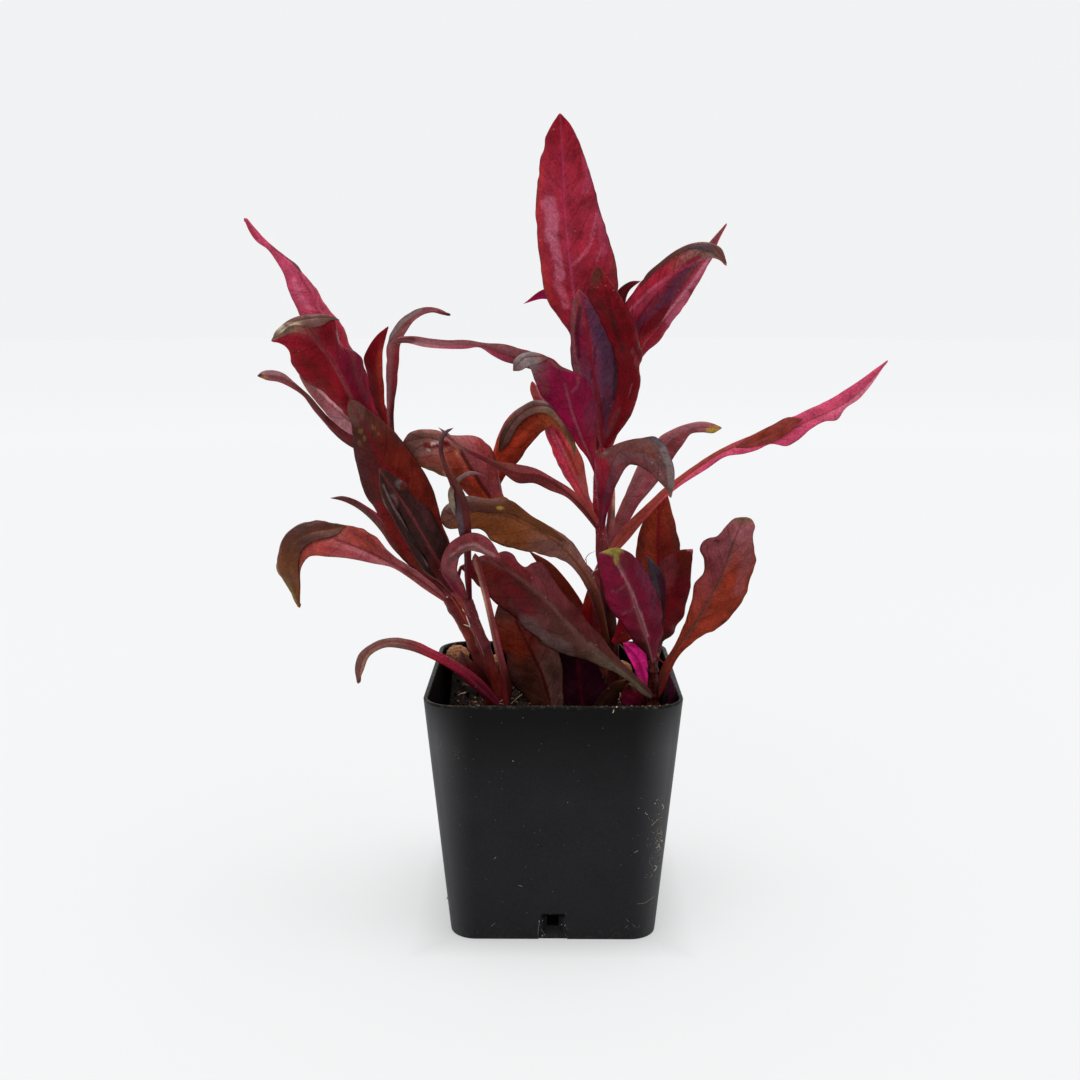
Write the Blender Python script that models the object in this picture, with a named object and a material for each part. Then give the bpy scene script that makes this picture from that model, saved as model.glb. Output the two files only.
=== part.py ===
"""Alternanthera reineckii, a red-leaved aquarium plant, rooted in a square nursery pot.

Units in this file are millimetres, turned into metres when a mesh is made. +Z is up, the viewer
stands at -Y, and the origin is the middle of the pot's underside. A place on the plant is given
as it is seen from the front: across and down on a square picture plane of 1080 units, and the
depth behind the pot's middle plane. sight() turns such a place into a point.
"""

import math

import bmesh
import bpy
import numpy as np

MM = 0.001

# Where the plant is seen from
EYE = np.array((-0.6, -294.6, 138.3))
EYE_TURN = math.radians(0.48)
EYE_DIP = math.radians(9.83)
PLANE_DISTANCE = 1292.0
PLANE_MIDDLE = 540.0

# Pot
RIM_HALF = 28.5
BASE_HALF = 23.3
POT_HEIGHT = 56.0
POT_WALL = 1.0
FLOOR_THICK = 1.6
RIM_CORNER = 7.5
BASE_CORNER = 6.0
FOOT_BEVEL = 0.5
CORNER_STEPS = 5

# Drain notch, one in the middle of each side at the foot
NOTCH_HALF = 2.75
NOTCH_TOP = 6.5
NOTCH_BOTTOM = 0.7
NOTCH_DEPTH = 2.0
NOTCH_FOOT_DEPTH = 0.4
NOTCH_ROOF = 0.6
PAST = 1.0
NOTCH_WINDOW_HALF = 1.3
NOTCH_WINDOW = (2.5, 5.2)
BOSS_HALF = 4.0
BOSS_DEPTH = 3.2
BOSS_TOP = 8.4

# Growing medium
GAP = 0.35
MEDIUM_LEVEL = 43.5
MEDIUM_BACK_RISE = 4.5
MEDIUM_RISE_FROM = 2.0
MEDIUM_RISE_RUN = 18.0
HOLLOW_DEPTH = 13.0
HOLLOW_MIDDLE = (-17.0, -11.0)
HOLLOW_SPREAD = 10.5
MEDIUM_FOOT = 9.0
MEDIUM_CELLS = 14
MEDIUM_EDGE_LEVEL = 35.5
CORNER_DRAW = 0.12
POCKET_GAP = 0.48

# Clay balls: middle across, down and deep, then radius
CLAY_BALLS = {
    "clay_ball_left": ((457.5, 656.5), 20.5, 3.0),
    "clay_ball_small": ((495.5, 662.0), 22.0, 1.9),
    "clay_ball_right": ((622.0, 671.0), 19.0, 2.6),
}

BALL_LUMP = 0.04
BALL_SUNK = 0.4
HEAP_SPREAD = 2.0

# Leaf tissue
LEAF_THICK = 0.55
MIDRIB_THICK = 0.95
STALK_HALF = 0.62
STALK_TAPER = 4
STALK_CLEAR = 1.6
STATION_LENGTH = 5.2
STATIONS = (5, 14)
ACROSS = np.array((-1.0, -0.5, 0.0, 0.5, 1.0))
SHARP_ANGLE = math.radians(35)

# Each stem: places from the pot upwards as (across, down, deep), and its radii from foot to top
STEMS = {
    "stem_left": dict(
        path=((489, 716, 2.5), (483.6, 677, 2.0), (474.4, 657.6, 1.5), (463, 633.5, 1.0),
              (452, 608, 0.8), (445, 598, 0.8)),
        radius=(1.45, 1.35, 1.3, 1.3), sides=8),
    "stem_left_main": dict(
        path=((502, 722, -5.0), (499.7, 703, -5.0), (496, 684, -4.6), (489, 663, -4.2),
              (482, 643, -4.0), (475, 622, -4.0), (468, 599, -4.5)),
        radius=(1.75, 1.65, 1.6, 1.65, 1.45), sides=8),
    "stem_left_upper": dict(
        path=((466, 618, -1.8), (458, 602, -1.7), (448, 585, -1.0), (430, 548, 1.5),
              (408, 492, 4.5), (391, 436, 7.0)),
        radius=(0.9, 1.0, 1.0, 0.9), sides=6),
    "stem_centre": dict(
        path=((611, 724, 6.0), (611, 692, 5.5), (614, 668, 4.5), (611.5, 643, 3.0),
              (610, 620, 2.0), (606, 590, 1.0), (603, 560, 0.5), (600, 520, 0.0),
              (598, 480, 0.0), (602, 446, 0.0)),
        radius=(1.5, 1.45, 1.4, 1.45, 1.3, 1.2, 1.1, 0.9), sides=8),
    "stem_right": dict(
        path=((654, 726, -12.0), (653, 700, -12.5), (652.5, 676, -13.0), (653, 660, -13.5)),
        radius=(1.4, 1.3, 1.15, 1.05), sides=8),
}


def leaf(stem, mid, left, right, deep, lean=((0.0,), (0.0,)), cup=(0.0, 0.0), colour="crimson"):
    """One leaf's shape and colour.

    mid runs from the stalk to the tip; left and right are its margins as seen with the tip ahead.
    deep is how far back the midrib lies, at equal steps; lean is how much deeper each margin
    lies; cup is how far each half bulges, in mm.
    """
    return dict(stem=stem, mid=mid, left=left, right=right, deep=deep, lean=lean, cup=cup,
                colour=colour)


LEAVES = {
    "leaf_crown_tall": leaf(
        "stem_centre",
        mid=((601, 444), (590, 380), (577, 318), (571, 272), (565, 216), (563, 165), (560, 113)),
        left=((597, 430), (583, 375), (568, 330), (548, 301), (541, 268), (537, 232), (536, 197),
              (540, 165), (546, 138), (554, 121)),
        right=((607, 425), (607, 370), (611, 325), (617, 290), (616, 262), (607, 231), (597, 197),
               (587, 161), (578, 138), (568, 121)),
        deep=(1.8, 6, 9, 11, 12), lean=((1.5, 2.0), (2.0, 1.0)), cup=(1.0, 1.0), colour="crimson"),
    "leaf_crown_sliver_left": leaf(
        "stem_centre",
        mid=((600, 460), (600, 400), (594, 350), (580, 315), (560, 295), (545, 293), (523, 304)),
        left=((597, 420), (592, 380), (582, 335), (566, 308), (545, 299)),
        right=((604, 420), (606, 370), (598, 322), (572, 296), (545, 289)),
        deep=(3, 12, 17, 20, 21), colour="crimson"),
    "leaf_crown_sliver_right": leaf(
        "stem_centre",
        mid=((607, 462), (613, 400), (615, 350), (617, 312), (626, 289), (641, 281)),
        left=((608, 410), (607, 360), (610, 315), (620, 288), (632, 281)),
        right=((615, 410), (621, 360), (624, 318), (630, 290)),
        deep=(2.2, 10, 13, 15, 16), colour="crimson"),
    "leaf_crown_front": leaf(
        "stem_centre",
        mid=((605, 447), (622, 410), (628, 372), (622, 332), (607, 293), (597, 265)),
        left=((608, 428), (616, 400), (617, 367), (611, 343), (598, 317), (590, 302), (587, 292),
              (592, 274)),
        right=((615, 435), (631, 412), (638, 391), (641, 365), (640, 343), (633, 322), (624, 302),
               (614, 286), (605, 274)),
        deep=(-2, -7, -9.5, -9, -7), lean=((1.0,), (1.5,)), cup=(0.4, 0.6), colour="crimson"),
    "leaf_crown_inner": leaf(
        "stem_centre",
        mid=((603, 447), (600, 418), (596, 388), (591, 352), (585, 316), (579, 289)),
        left=((595, 425), (583, 395), (573, 368), (571, 340), (571.5, 312), (575, 295)),
        right=((608, 430), (618, 400), (621, 370), (615, 345), (603, 318), (588, 298)),
        deep=(-1.2, -2.5, -3.5, -3.5, -2.5), lean=((-1.5,), (-0.5,)), cup=(-0.7, -0.5),
        colour="maroon"),
    "leaf_crown_right_curled": leaf(
        "stem_centre",
        mid=((605, 446), (618, 398), (634, 352), (649, 318), (669, 283), (692, 259), (712, 251),
             (727, 266)),
        left=((607, 400), (611, 350), (625, 304), (641, 282), (657, 266), (674, 252), (691, 245),
              (705, 243), (720, 247)),
        right=((622, 402), (637, 365), (645, 343), (655, 332), (669, 308), (687, 276), (697, 263),
               (710, 258), (721, 261)),
        deep=(0.8, 1.5, 0.5, -2, -5, -7), lean=((-1.0,), (1.0,)), cup=(-0.4, 0.4), colour="maroon"),
    "leaf_crown_right_straight": leaf(
        "stem_centre",
        mid=((606, 456), (624, 392), (646, 345), (668, 308), (690, 277), (708, 250), (727, 223)),
        left=((613, 395), (630, 350), (650, 310), (676, 276), (699, 254), (713, 238)),
        right=((630, 400), (643, 356), (661, 338), (675, 319), (686, 303), (696, 288), (705, 271),
               (713, 257), (718, 242)),
        deep=(1.8, 6, 9, 11, 11), lean=((0.5,), (1.0,)), cup=(0.4, 0.4), colour="pink_red"),
    "leaf_centre_magenta": leaf(
        "stem_centre",
        mid=((597, 473), (589, 451), (579, 426), (571, 400), (561, 378), (548, 362), (530, 359),
             (513, 371)),
        left=((589, 458), (580, 447), (569, 431), (556, 413), (542, 396), (534, 379), (529, 367),
              (518, 370)),
        right=((594, 450), (596, 432), (597, 410), (594, 392), (589, 380), (577, 373), (563, 367),
               (552, 359), (538, 354), (521, 354), (514, 360)),
        deep=(-1.8, -6, -10, -14, -18, -20), lean=((1.0,), (1.0,)), cup=(0.6, 0.6),
        colour="magenta"),
    "leaf_centre_long_left": leaf(
        "stem_centre",
        mid=((598, 456), (582, 410), (562, 377), (540, 362), (512, 354), (490, 348), (465, 344),
             (440, 344), (415, 341), (398, 340), (389, 345)),
        left=((590, 440), (568, 398), (543, 374), (520, 366), (503, 361), (490, 354), (479, 347),
              (465, 349), (449, 349), (424, 347), (405, 343)),
        right=((593, 425), (577, 386), (556, 368), (532, 352), (515, 347), (503, 344), (485, 343),
               (467, 340), (448, 340), (431, 338.5), (412, 336), (397, 338)),
        deep=(1, 3, 2, 0, -3, -5), lean=((1.0,), (-1.0,)), colour="maroon"),
    "leaf_left_arched": leaf(
        "stem_left_upper",
        mid=((392, 434), (391, 412), (392, 388), (394, 362), (397, 340), (407, 324), (424, 311),
             (451, 315)),
        left=((389, 415), (387, 388), (387, 363), (388, 343), (392, 331), (400, 320), (412, 311),
              (428, 307), (440, 309)),
        right=((392, 415), (396, 387), (398.5, 363), (400, 345), (404, 335), (412, 323),
               (422, 315), (434, 312), (444, 313)),
        deep=(7, 8.5, 11, 14, 14, 12), lean=((2.0,), (-2.0,)), colour="mauve"),
    "leaf_left_narrow_red": leaf(
        "stem_left_upper",
        mid=((390, 437), (382, 412), (377, 388), (376, 362), (381, 340), (388.5, 326)),
        left=((384, 428), (378, 414), (372, 398), (366.5, 373), (364, 358), (369, 346),
              (378, 334)),
        right=((388, 430), (384.5, 412), (384, 396), (383, 371), (383, 350), (386, 337)),
        deep=(7, 5, 3, 2, 2), lean=((1.5,), (-1.0,)), colour="rust"),
    "leaf_left_broad": leaf(
        "stem_left_upper",
        mid=((390, 438), (371, 418), (354, 397), (343, 379), (332, 360), (318, 343), (298, 333),
             (271, 341)),
        left=((362, 428), (347, 415), (332, 400), (311, 384), (297, 371), (290.5, 361), (289, 351),
              (281, 344)),
        right=((382, 425), (375, 408), (370, 389), (365, 369), (361, 356), (350, 349), (341, 345),
               (337, 333), (335, 318), (311, 315), (293, 318), (280, 328)),
        deep=(6, 1, -5, -10, -14, -16), lean=((2.5,), (1.5,)), cup=(1.0, 1.2), colour="crimson"),
    "leaf_left_high": leaf(
        "stem_left_upper",
        mid=((390, 442), (372, 404), (354, 368), (332, 330), (307, 291), (286, 264), (264, 239),
             (244, 218)),
        left=((375, 415), (347, 378), (320, 342), (299, 314), (294, 302), (288, 289), (283, 273),
              (276, 261), (267, 249), (257, 242), (249, 231)),
        right=((386, 412), (368, 380), (351, 346), (340, 323), (329, 310), (321, 296), (311, 282),
               (301, 270), (294, 262), (276, 250), (262, 240), (252, 228)),
        deep=(9, 15, 18, 21, 22), lean=((-1.0,), (2.5,)), cup=(0.5, 0.5), colour="pink_red"),
    "leaf_left_dusky": leaf(
        "stem_left_upper",
        mid=((390, 441), (369, 432), (348, 419), (329, 403), (311, 386), (299, 375.5)),
        left=((366, 439), (351, 436), (339, 427), (328, 416), (318, 404), (309, 393), (302, 382)),
        right=((373, 424), (353, 406), (333, 390), (316, 379), (304, 373)),
        deep=(7, 7, 6, 5, 4), lean=((0.5,), (1.5,)), colour="mauve"),
    "leaf_left_thin_dark": leaf(
        "stem_left_upper",
        mid=((391, 445), (371, 446), (352, 442), (331, 427), (313, 406), (298, 388), (281, 377),
             (257, 376)),
        left=((371, 451), (353, 447), (338, 437), (324, 422), (313.5, 410), (304, 397), (293, 389),
              (278, 382), (266, 380)),
        right=((370, 441), (352, 436), (332, 421), (321, 409), (309, 395), (300, 387), (293, 381),
               (284, 373.5), (271, 370), (261, 372)),
        deep=(6, 3.5, 2, 0, -4, -6), lean=((1.0,), (-0.5,)), colour="mauve"),
    "leaf_left_big_dark": leaf(
        "stem_left_upper",
        mid=((450, 587), (438, 560), (424, 530), (405, 498), (386, 469), (376.5, 452), (367, 432),
             (358, 415), (349, 399)),
        left=((440, 580), (422, 573), (404.5, 560), (390, 541), (381, 519), (367, 496.5),
              (358, 470), (353, 446), (351.5, 424), (347, 407)),
        right=((451, 570), (449.5, 545), (442, 526), (437, 503.5), (427, 478), (416, 460),
               (402, 440), (385, 422), (368, 409.5), (357, 401)),
        deep=(-2.5, -4, -3.5, -3, -4, -6), lean=((1.0,), (2.0,)), cup=(0.7, 0.7), colour="rust"),
    "leaf_left_dark_front": leaf(
        "stem_left_upper",
        mid=((452, 591), (442, 567), (431, 548), (418, 527), (403, 503), (391, 485), (379, 468)),
        left=((438, 580), (424, 569), (415, 555), (405, 537), (395, 521), (384, 503), (380, 484)),
        right=((448, 575), (448, 558), (446, 541), (438, 524.5), (430, 510.5), (411, 493),
               (406, 484), (396, 477), (386, 470)),
        deep=(-3, -8, -11, -13, -15), lean=((1.5,), (0.5,)), cup=(0.8, 0.5), colour="purple_black"),
    "leaf_left_slender": leaf(
        "stem_left_upper",
        mid=((455, 598), (428, 578), (408, 558), (391, 536), (374, 515), (354, 501), (330, 498)),
        left=((435, 588), (414, 569), (401, 557), (390, 545), (382, 533), (370, 519), (355, 507),
              (342, 501)),
        right=((432, 577), (412, 557), (397, 536), (383, 518), (366.5, 506), (354, 499),
               (342, 496)),
        deep=(-0.5, 3, 5, 5, 4), colour="mauve"),
    "leaf_left_drooping": leaf(
        "stem_left",
        mid=((446, 600), (425, 584), (404, 570), (381, 559), (359, 549), (335, 539), (310, 538),
             (295, 551), (290, 575), (300, 608)),
        left=((427, 589), (408, 576), (392, 567), (372, 563), (352, 559), (327, 557), (309, 557),
              (302, 566), (300.5, 588)),
        right=((436, 589), (420, 575), (404, 563), (390, 554), (382, 545), (371, 534), (359, 527),
               (346, 525), (326, 522), (304, 522), (292, 528), (283, 538), (279, 553), (276, 571),
               (287, 583), (295, 601)),
        deep=(0.5, -2, -8, -13, -16, -16, -14), lean=((0.5, -1.0), (1.5, 2.0)), cup=(0.6, 0.6),
        colour="rust"),
    "leaf_low_left_trailing": leaf(
        "stem_left_main",
        mid=((500, 706), (481, 688), (455, 666), (434, 656), (411, 645), (386, 643), (367, 654),
             (358, 684)),
        left=((481, 693), (454, 671), (434, 660), (403, 649), (384, 648), (370, 656),
              (363, 672)),
        right=((483, 683), (472, 673), (454, 661), (436, 651), (413.5, 641), (391, 638), (373, 643),
               (358, 655), (355, 670)),
        deep=(-6, -9, -11, -12, -13, -13), lean=((-1.0,), (1.0,)), cup=(0.3, 0.3),
        colour="crimson"),
    "leaf_pot_left_dark": leaf(
        "stem_left_main",
        mid=((497, 703), (483, 688), (473, 674), (466, 662), (460.6, 650)),
        left=((482, 692), (470, 677), (460, 666), (458, 657)),
        right=((491, 691), (488, 680), (481, 668), (470, 659)),
        deep=(-3.5, -2.2, -2.2, -3), colour="maroon"),
    "leaf_left_edge_on": leaf(
        "stem_left_main",
        mid=((507, 708), (504, 676), (499, 654), (493.5, 630), (488, 604), (482, 580), (475, 553)),
        left=((504, 690), (499.5, 665), (495, 650), (490, 628), (484.5, 604), (478, 578),
              (473, 556)),
        right=((510.5, 690), (507, 672), (502.5, 652), (497, 628), (491, 602), (485, 578),
               (478, 556)),
        deep=(-8, -9, -10, -11, -11), colour="olive_brown"),
    "leaf_left_small_curled": leaf(
        "stem_left_main",
        mid=((465.5, 599), (456, 583), (447, 567), (453, 552), (470, 543), (487, 547), (501, 559)),
        left=((452, 586), (441, 568), (443, 555), (450, 543), (460, 536), (473, 532.5), (488, 538),
              (497, 550)),
        right=((463, 586), (457, 570), (459, 558), (468, 551), (478, 552), (490, 557)),
        deep=(-6, -9, -13, -16, -18, -18), lean=((0.5,), (-1.5,)), colour="mauve"),
    "leaf_left_twisted": leaf(
        "stem_left_main",
        mid=((469.5, 599), (468, 575), (467.5, 552), (465, 528), (461, 504), (452, 480), (443, 458),
             (442, 440), (453.6, 427.6)),
        left=((466, 575), (464.5, 552), (458.5, 530), (456, 515), (453, 500), (449.5, 484),
              (444, 470), (439.5, 456), (438.5, 445), (440.5, 436), (446, 430)),
        right=((470, 575), (470.5, 552), (471, 530), (469.5, 515), (467, 500), (460, 485),
               (450, 470), (444.5, 456), (443, 445), (445, 436), (449, 430)),
        deep=(-4, -9.5, -14, -17, -19, -19, -18), colour="maroon"),
    "leaf_centre_ribbon_left": leaf(
        "stem_centre",
        mid=((598, 528), (581, 506), (562, 489), (540, 476), (516, 473), (496, 465), (476, 455),
             (456, 443), (438, 427)),
        left=((592, 521), (581, 509), (566, 496), (550, 490), (534, 483), (518, 483), (501, 471.5),
              (484, 461), (468, 453), (455, 445), (445, 435)),
        right=((595, 517), (583, 502), (571, 490), (554, 479), (534, 468), (515.5, 464), (496, 461),
               (480, 454), (467, 448), (457, 441), (447, 432)),
        deep=(-0.3, -6, -9, -11, -12, -12), lean=((-0.5,), (0.5,)), colour="maroon"),
    "leaf_middle_brown": leaf(
        "stem_centre",
        mid=((607, 634), (600, 607), (587, 580), (567, 553), (542, 535), (517, 521), (500, 509),
             (489, 497), (474, 472), (455, 449), (432, 438), (403, 442)),
        left=((597, 607), (583, 580), (563, 554), (540, 539), (513, 525), (486, 511), (468, 496),
              (450, 479), (436, 473), (422, 467), (409, 456)),
        right=((603, 607), (591, 580), (571, 551), (546, 532), (522, 516), (509, 503), (502, 488),
               (498, 470), (494, 452), (487, 443), (474, 436), (450, 435), (436, 430), (418, 430),
               (408, 434)),
        deep=(4, 4.2, 4, 3, 1, 0, 1), lean=((0.0, 2.0), (0.0, 1.0)), cup=(0.8, 1.0), colour="rust"),
    "leaf_middle_olive_arch": leaf(
        "stem_centre",
        mid=((607, 642), (601, 610), (592, 586), (583, 571), (572, 557), (560, 545), (543, 533),
             (527, 525), (509, 516), (487, 512), (464, 512), (441, 514)),
        left=((598, 615), (588, 590), (581, 577), (572, 567), (555, 558), (538, 553), (520, 550),
              (504, 546), (489, 538), (483, 531), (471, 528), (459, 529), (447, 528),
              (441, 521)),
        right=((604, 622), (600, 600), (594, 582), (586, 564), (578, 551), (566, 537), (549, 526),
               (532, 517), (518, 510), (511, 502), (506, 497.5), (490.5, 499), (466, 496),
               (452, 501), (443, 509)),
        deep=(0.8, -3, -6, -8, -9, -9, -8), lean=((2.0,), (1.0,)), cup=(0.5, 0.8),
        colour="olive_brown"),
    "leaf_front_big": leaf(
        "stem_right",
        mid=((653, 697), (640, 684), (620, 667), (601, 654), (583, 641), (567, 625), (554, 607),
             (538, 591), (521, 578), (504, 569), (486, 561), (459, 567)),
        left=((643, 692), (631, 681), (619, 673.5), (606, 667.5), (589, 661.5), (572, 657),
              (555, 651), (538, 640), (523, 627), (513, 616), (500, 606), (489, 596), (474, 581)),
        right=((646, 688), (631, 673), (612, 652), (602, 638), (589, 624), (580, 611), (566, 596),
               (555, 581), (548, 569), (540, 562), (532, 563), (525, 567), (519, 563), (513, 554),
               (506, 551), (497, 553), (480, 556)),
        deep=(-13.5, -14, -13, -10, -6, -4, -3), lean=((1.0, 0.5), (0.5, 1.5)), cup=(0.5, 0.5),
        colour="maroon"),
    "leaf_pot_brown": leaf(
        None,
        mid=((553, 726), (550, 704), (543, 678), (535, 658), (525, 638), (513, 616), (499, 601)),
        left=((541, 712), (527, 698), (514, 685), (508, 672.5), (507, 659), (502, 647),
              (497, 633.5), (495, 616)),
        right=((561, 712), (562, 690), (562, 669), (558, 650), (545, 632), (528, 614),
               (512, 603)),
        deep=(1, 1, 0, -1, -2), lean=((1.5,), (1.5,)), cup=(0.5, 0.5), colour="rust"),
    "leaf_pot_purple": leaf(
        None,
        mid=((585, 722), (582, 700), (579, 676), (576, 652), (571, 634)),
        left=((577, 715), (564, 700), (557, 683), (557, 662), (563, 643)),
        right=((592, 715), (604, 702), (607, 690), (603, 679), (598, 664), (588, 646)),
        deep=(4, 3.5, 3, 2.5), cup=(-0.6, -0.6), colour="purple_black"),
    "leaf_right_front_magenta": leaf(
        "stem_right",
        mid=((653, 662), (648, 643), (641, 625), (635, 607), (629, 588), (622, 569), (613, 556),
             (599, 553)),
        left=((649, 655), (638, 645), (628, 632), (621, 621), (611, 611), (604, 595), (600, 577),
              (598.5, 561)),
        right=((655, 652), (658, 642), (662, 634), (660, 624), (661, 612), (660, 600), (655, 586),
               (647, 571), (639, 561), (628, 551.5), (615, 547.5)),
        deep=(-14.5, -17, -19, -20, -20), lean=((1.0,), (1.5,)), cup=(0.5, 0.7), colour="magenta"),
    "leaf_right_notched": leaf(
        "stem_right",
        mid=((655, 701), (662, 678), (673, 655), (687, 635), (700, 616), (712, 594), (723, 571),
             (731, 549), (738, 531), (744, 517)),
        left=((659, 680), (666, 661), (674, 647.5), (681, 633), (687, 616), (692, 599),
              (695, 582), (703, 574), (704, 562), (700, 547), (703, 541), (717, 536), (726, 526),
              (735, 518)),
        right=((663, 688), (670, 670), (677, 657), (686, 647.5), (700, 637), (715, 630),
               (727, 621), (737, 609), (745, 598), (749, 584.5), (754, 571), (757, 560),
               (754, 549), (753, 538), (755, 526), (750, 518)),
        deep=(-11, -9, -6, -2, 1, 3), lean=((1.5,), (0.5,)), cup=(0.7, 0.7), colour="crimson"),
    "leaf_right_rust_upright": leaf(
        "stem_right",
        mid=((655, 664), (658, 635), (658, 600), (658, 556), (660, 518), (666, 491)),
        left=((652, 645), (647, 612), (640, 580), (636, 554), (640, 530), (646, 515),
              (656, 500)),
        right=((662, 640), (671, 612), (678, 580), (680, 549), (678, 535), (673, 515),
               (669, 499)),
        deep=(-10.5, -3, 2, 4, 6), lean=((1.0,), (1.0,)), cup=(0.5, 0.5), colour="rust"),
    "leaf_centre_drooping": leaf(
        "stem_centre",
        mid=((602, 528), (604, 506), (607, 486), (612, 466), (621, 451), (638, 449), (654, 459),
             (665, 477), (671, 498)),
        left=((600, 508), (597, 486), (596, 468), (598, 454), (610, 447.5), (624, 442),
              (640, 438.5), (655, 437), (663, 442), (671, 457), (674.5, 470), (674, 485)),
        right=((606, 512), (611, 498), (616, 484), (622, 474), (629, 465), (638, 465.5),
               (647, 470.5), (658, 480.5), (667, 491)),
        deep=(-2.4, -6, -10, -15, -19, -22, -23), lean=((1.0,), (-1.0,)), cup=(0.4, 0.4),
        colour="magenta"),
    "leaf_right_folded": leaf(
        "stem_right",
        mid=((655, 662), (660, 636), (662, 606), (670, 584), (677, 568), (684, 557), (693, 549)),
        left=((655, 640), (655, 618), (655, 592), (656, 574), (661, 560), (670, 553),
              (682, 549.5)),
        right=((662, 641), (671, 635), (677, 626), (683, 615), (687, 598), (691, 585),
               (692, 570), (692.5, 557)),
        deep=(-12, -8, -5, -3, -3), lean=((2.5,), (2.5,)), cup=(0.4, 0.4), colour="rust"),
    "leaf_right_small_blue": leaf(
        "stem_right",
        mid=((654, 660), (658, 634), (660, 608), (657, 583), (652, 568), (647, 555)),
        left=((654, 634), (653, 605), (650, 580), (647.5, 566)),
        right=((661, 634), (665, 605), (665.5, 584), (661, 571), (653, 561)),
        deep=(-13, -12, -11, -10, -9), colour="maroon"),
    "leaf_right_long": leaf(
        "stem_centre",
        mid=((603, 562), (624, 535), (650, 510), (682, 481), (708, 462), (734, 448), (757, 443),
             (780, 434), (811, 420), (847, 402), (867, 385), (888, 360)),
        left=((621, 532), (645, 507), (663, 490), (690, 469), (714, 453), (729, 445), (748, 437),
              (770, 426), (794, 416), (811, 408), (828, 400), (845, 390), (861, 379.5),
              (875, 369)),
        right=((625, 541), (645, 518), (675, 489), (707, 468.5), (727, 456), (745, 453.5),
               (757, 450), (771, 444), (787, 446), (797, 441), (811, 429), (825, 421.5),
               (837, 420), (845, 409), (859, 399), (868, 389)),
        deep=(-1.5, 1, 3.5, 5, 6, 6), lean=((1.0,), (-1.0,)), cup=(0.3, 0.3), colour="pink_red"),
    "leaf_right_arched_torn": leaf(
        "stem_centre",
        mid=((603, 556), (614, 532), (626, 508), (636, 484), (649, 461), (666, 441), (690, 429),
             (722, 428)),
        left=((611, 532), (620, 508), (628, 489), (637, 468), (648, 450), (660, 436.5), (672, 429),
              (686, 424), (700, 421.5), (712, 423)),
        right=((619, 534), (629, 520), (638, 505), (648, 493), (659, 480), (667, 468), (675, 455),
               (684, 443), (691, 434), (702, 432.5), (714, 433)),
        deep=(2.4, 8, 10, 11, 11), lean=((1.5,), (-1.0,)), cup=(0.4, 0.4), colour="mauve"),
    "leaf_centre_pink_back": leaf(
        "stem_centre",
        mid=((599, 526), (587, 502), (573, 476), (560, 448), (548, 420), (532, 381)),
        left=((593, 517), (582, 500), (570, 484), (560, 469), (551, 447), (543, 427), (534, 402),
              (530, 388)),
        right=((595, 512), (589, 499), (586, 478), (583, 460), (577, 447), (567, 431), (556, 408),
               (542, 391)),
        deep=(2, 8, 12, 15, 17), lean=((1.0,), (1.0,)), cup=(0.5, 0.5), colour="pink_red"),
    "leaf_centre_brown_arch": leaf(
        "stem_centre",
        mid=((606, 592), (586, 571), (560, 547), (530, 529), (508, 508), (495, 488), (499, 462),
             (512, 436), (530, 417), (549, 413), (565, 428), (576, 457)),
        left=((590, 576), (563, 551), (530, 533), (504, 511), (491, 489), (491, 462), (497, 438),
              (510, 415), (522, 406), (535, 400.5), (545, 401.5), (556, 413), (568, 427),
              (575, 441)),
        right=((591, 571), (566, 548), (536, 529), (512, 508), (500, 489), (508, 472),
               (519, 461), (527, 449), (534, 440), (543, 431), (550, 426), (560, 431),
               (569, 443)),
        deep=(2.8, 13.5, 14.5, 12, 10, 7, 4), lean=((0.5,), (-0.5,)), colour="olive_brown"),
    "leaf_centre_stalk_back": leaf(
        "stem_centre",
        mid=((602, 548), (608, 526), (611, 505), (611, 484), (607, 468)),
        left=((606, 530), (608, 505), (607, 484)),
        right=((613, 528), (615, 505), (614, 484)),
        deep=(1.6, 2.6, 3.2, 2.6), colour="mauve"),
    "leaf_back_dark": leaf(
        "stem_centre",
        mid=((610, 664), (599, 648), (591, 622), (594, 592), (600, 566), (606, 548)),
        left=((598, 655), (585, 636), (582, 612), (589, 585), (596, 566)),
        right=((606, 640), (600, 620), (602, 592), (605, 570)),
        deep=(6.5, 9, 10, 10, 9), colour="maroon"),
    "leaf_back_red_narrow": leaf(
        "stem_centre",
        mid=((611, 683), (600, 655), (588, 622), (576, 601), (562, 583), (547, 567), (528, 550)),
        left=((598, 668), (585, 632), (573, 608), (558, 588), (544, 572)),
        right=((606, 655), (592, 622), (580, 599), (566, 579), (551, 563)),
        deep=(7.5, 12, 14, 14, 13), colour="crimson"),
    "leaf_pot_bright_magenta": leaf(
        "stem_right",
        mid=((650, 694), (644, 675), (637, 657), (623, 642.5)),
        left=((645, 686), (637, 675), (631, 662), (625, 650)),
        right=((648, 682), (647.5, 664), (645, 652), (636, 643.5)),
        deep=(-10, -7, -5, -3), cup=(-0.4, -0.4), colour="magenta"),
    "leaf_pot_magenta_low": leaf(
        None,
        mid=((646, 722), (641, 708), (635, 695), (629, 683)),
        left=((636, 720), (624, 708), (621, 697), (624, 688)),
        right=((652, 716), (648, 702), (640, 689)),
        deep=(-9, -9, -9, -9), colour="magenta"),
    "leaf_pot_olive": leaf(
        None,
        mid=((594, 720), (600, 706), (612, 692), (627, 679)),
        left=((594, 707), (604, 691), (616, 681)),
        right=((604, 713), (615, 700), (625, 686)),
        deep=(-3, -3.5, -4, -4.5), colour="olive_brown"),
    "leaf_pot_red_back": leaf(
        "stem_centre",
        mid=((613, 643), (622, 632), (631, 617), (638, 600)),
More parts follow.
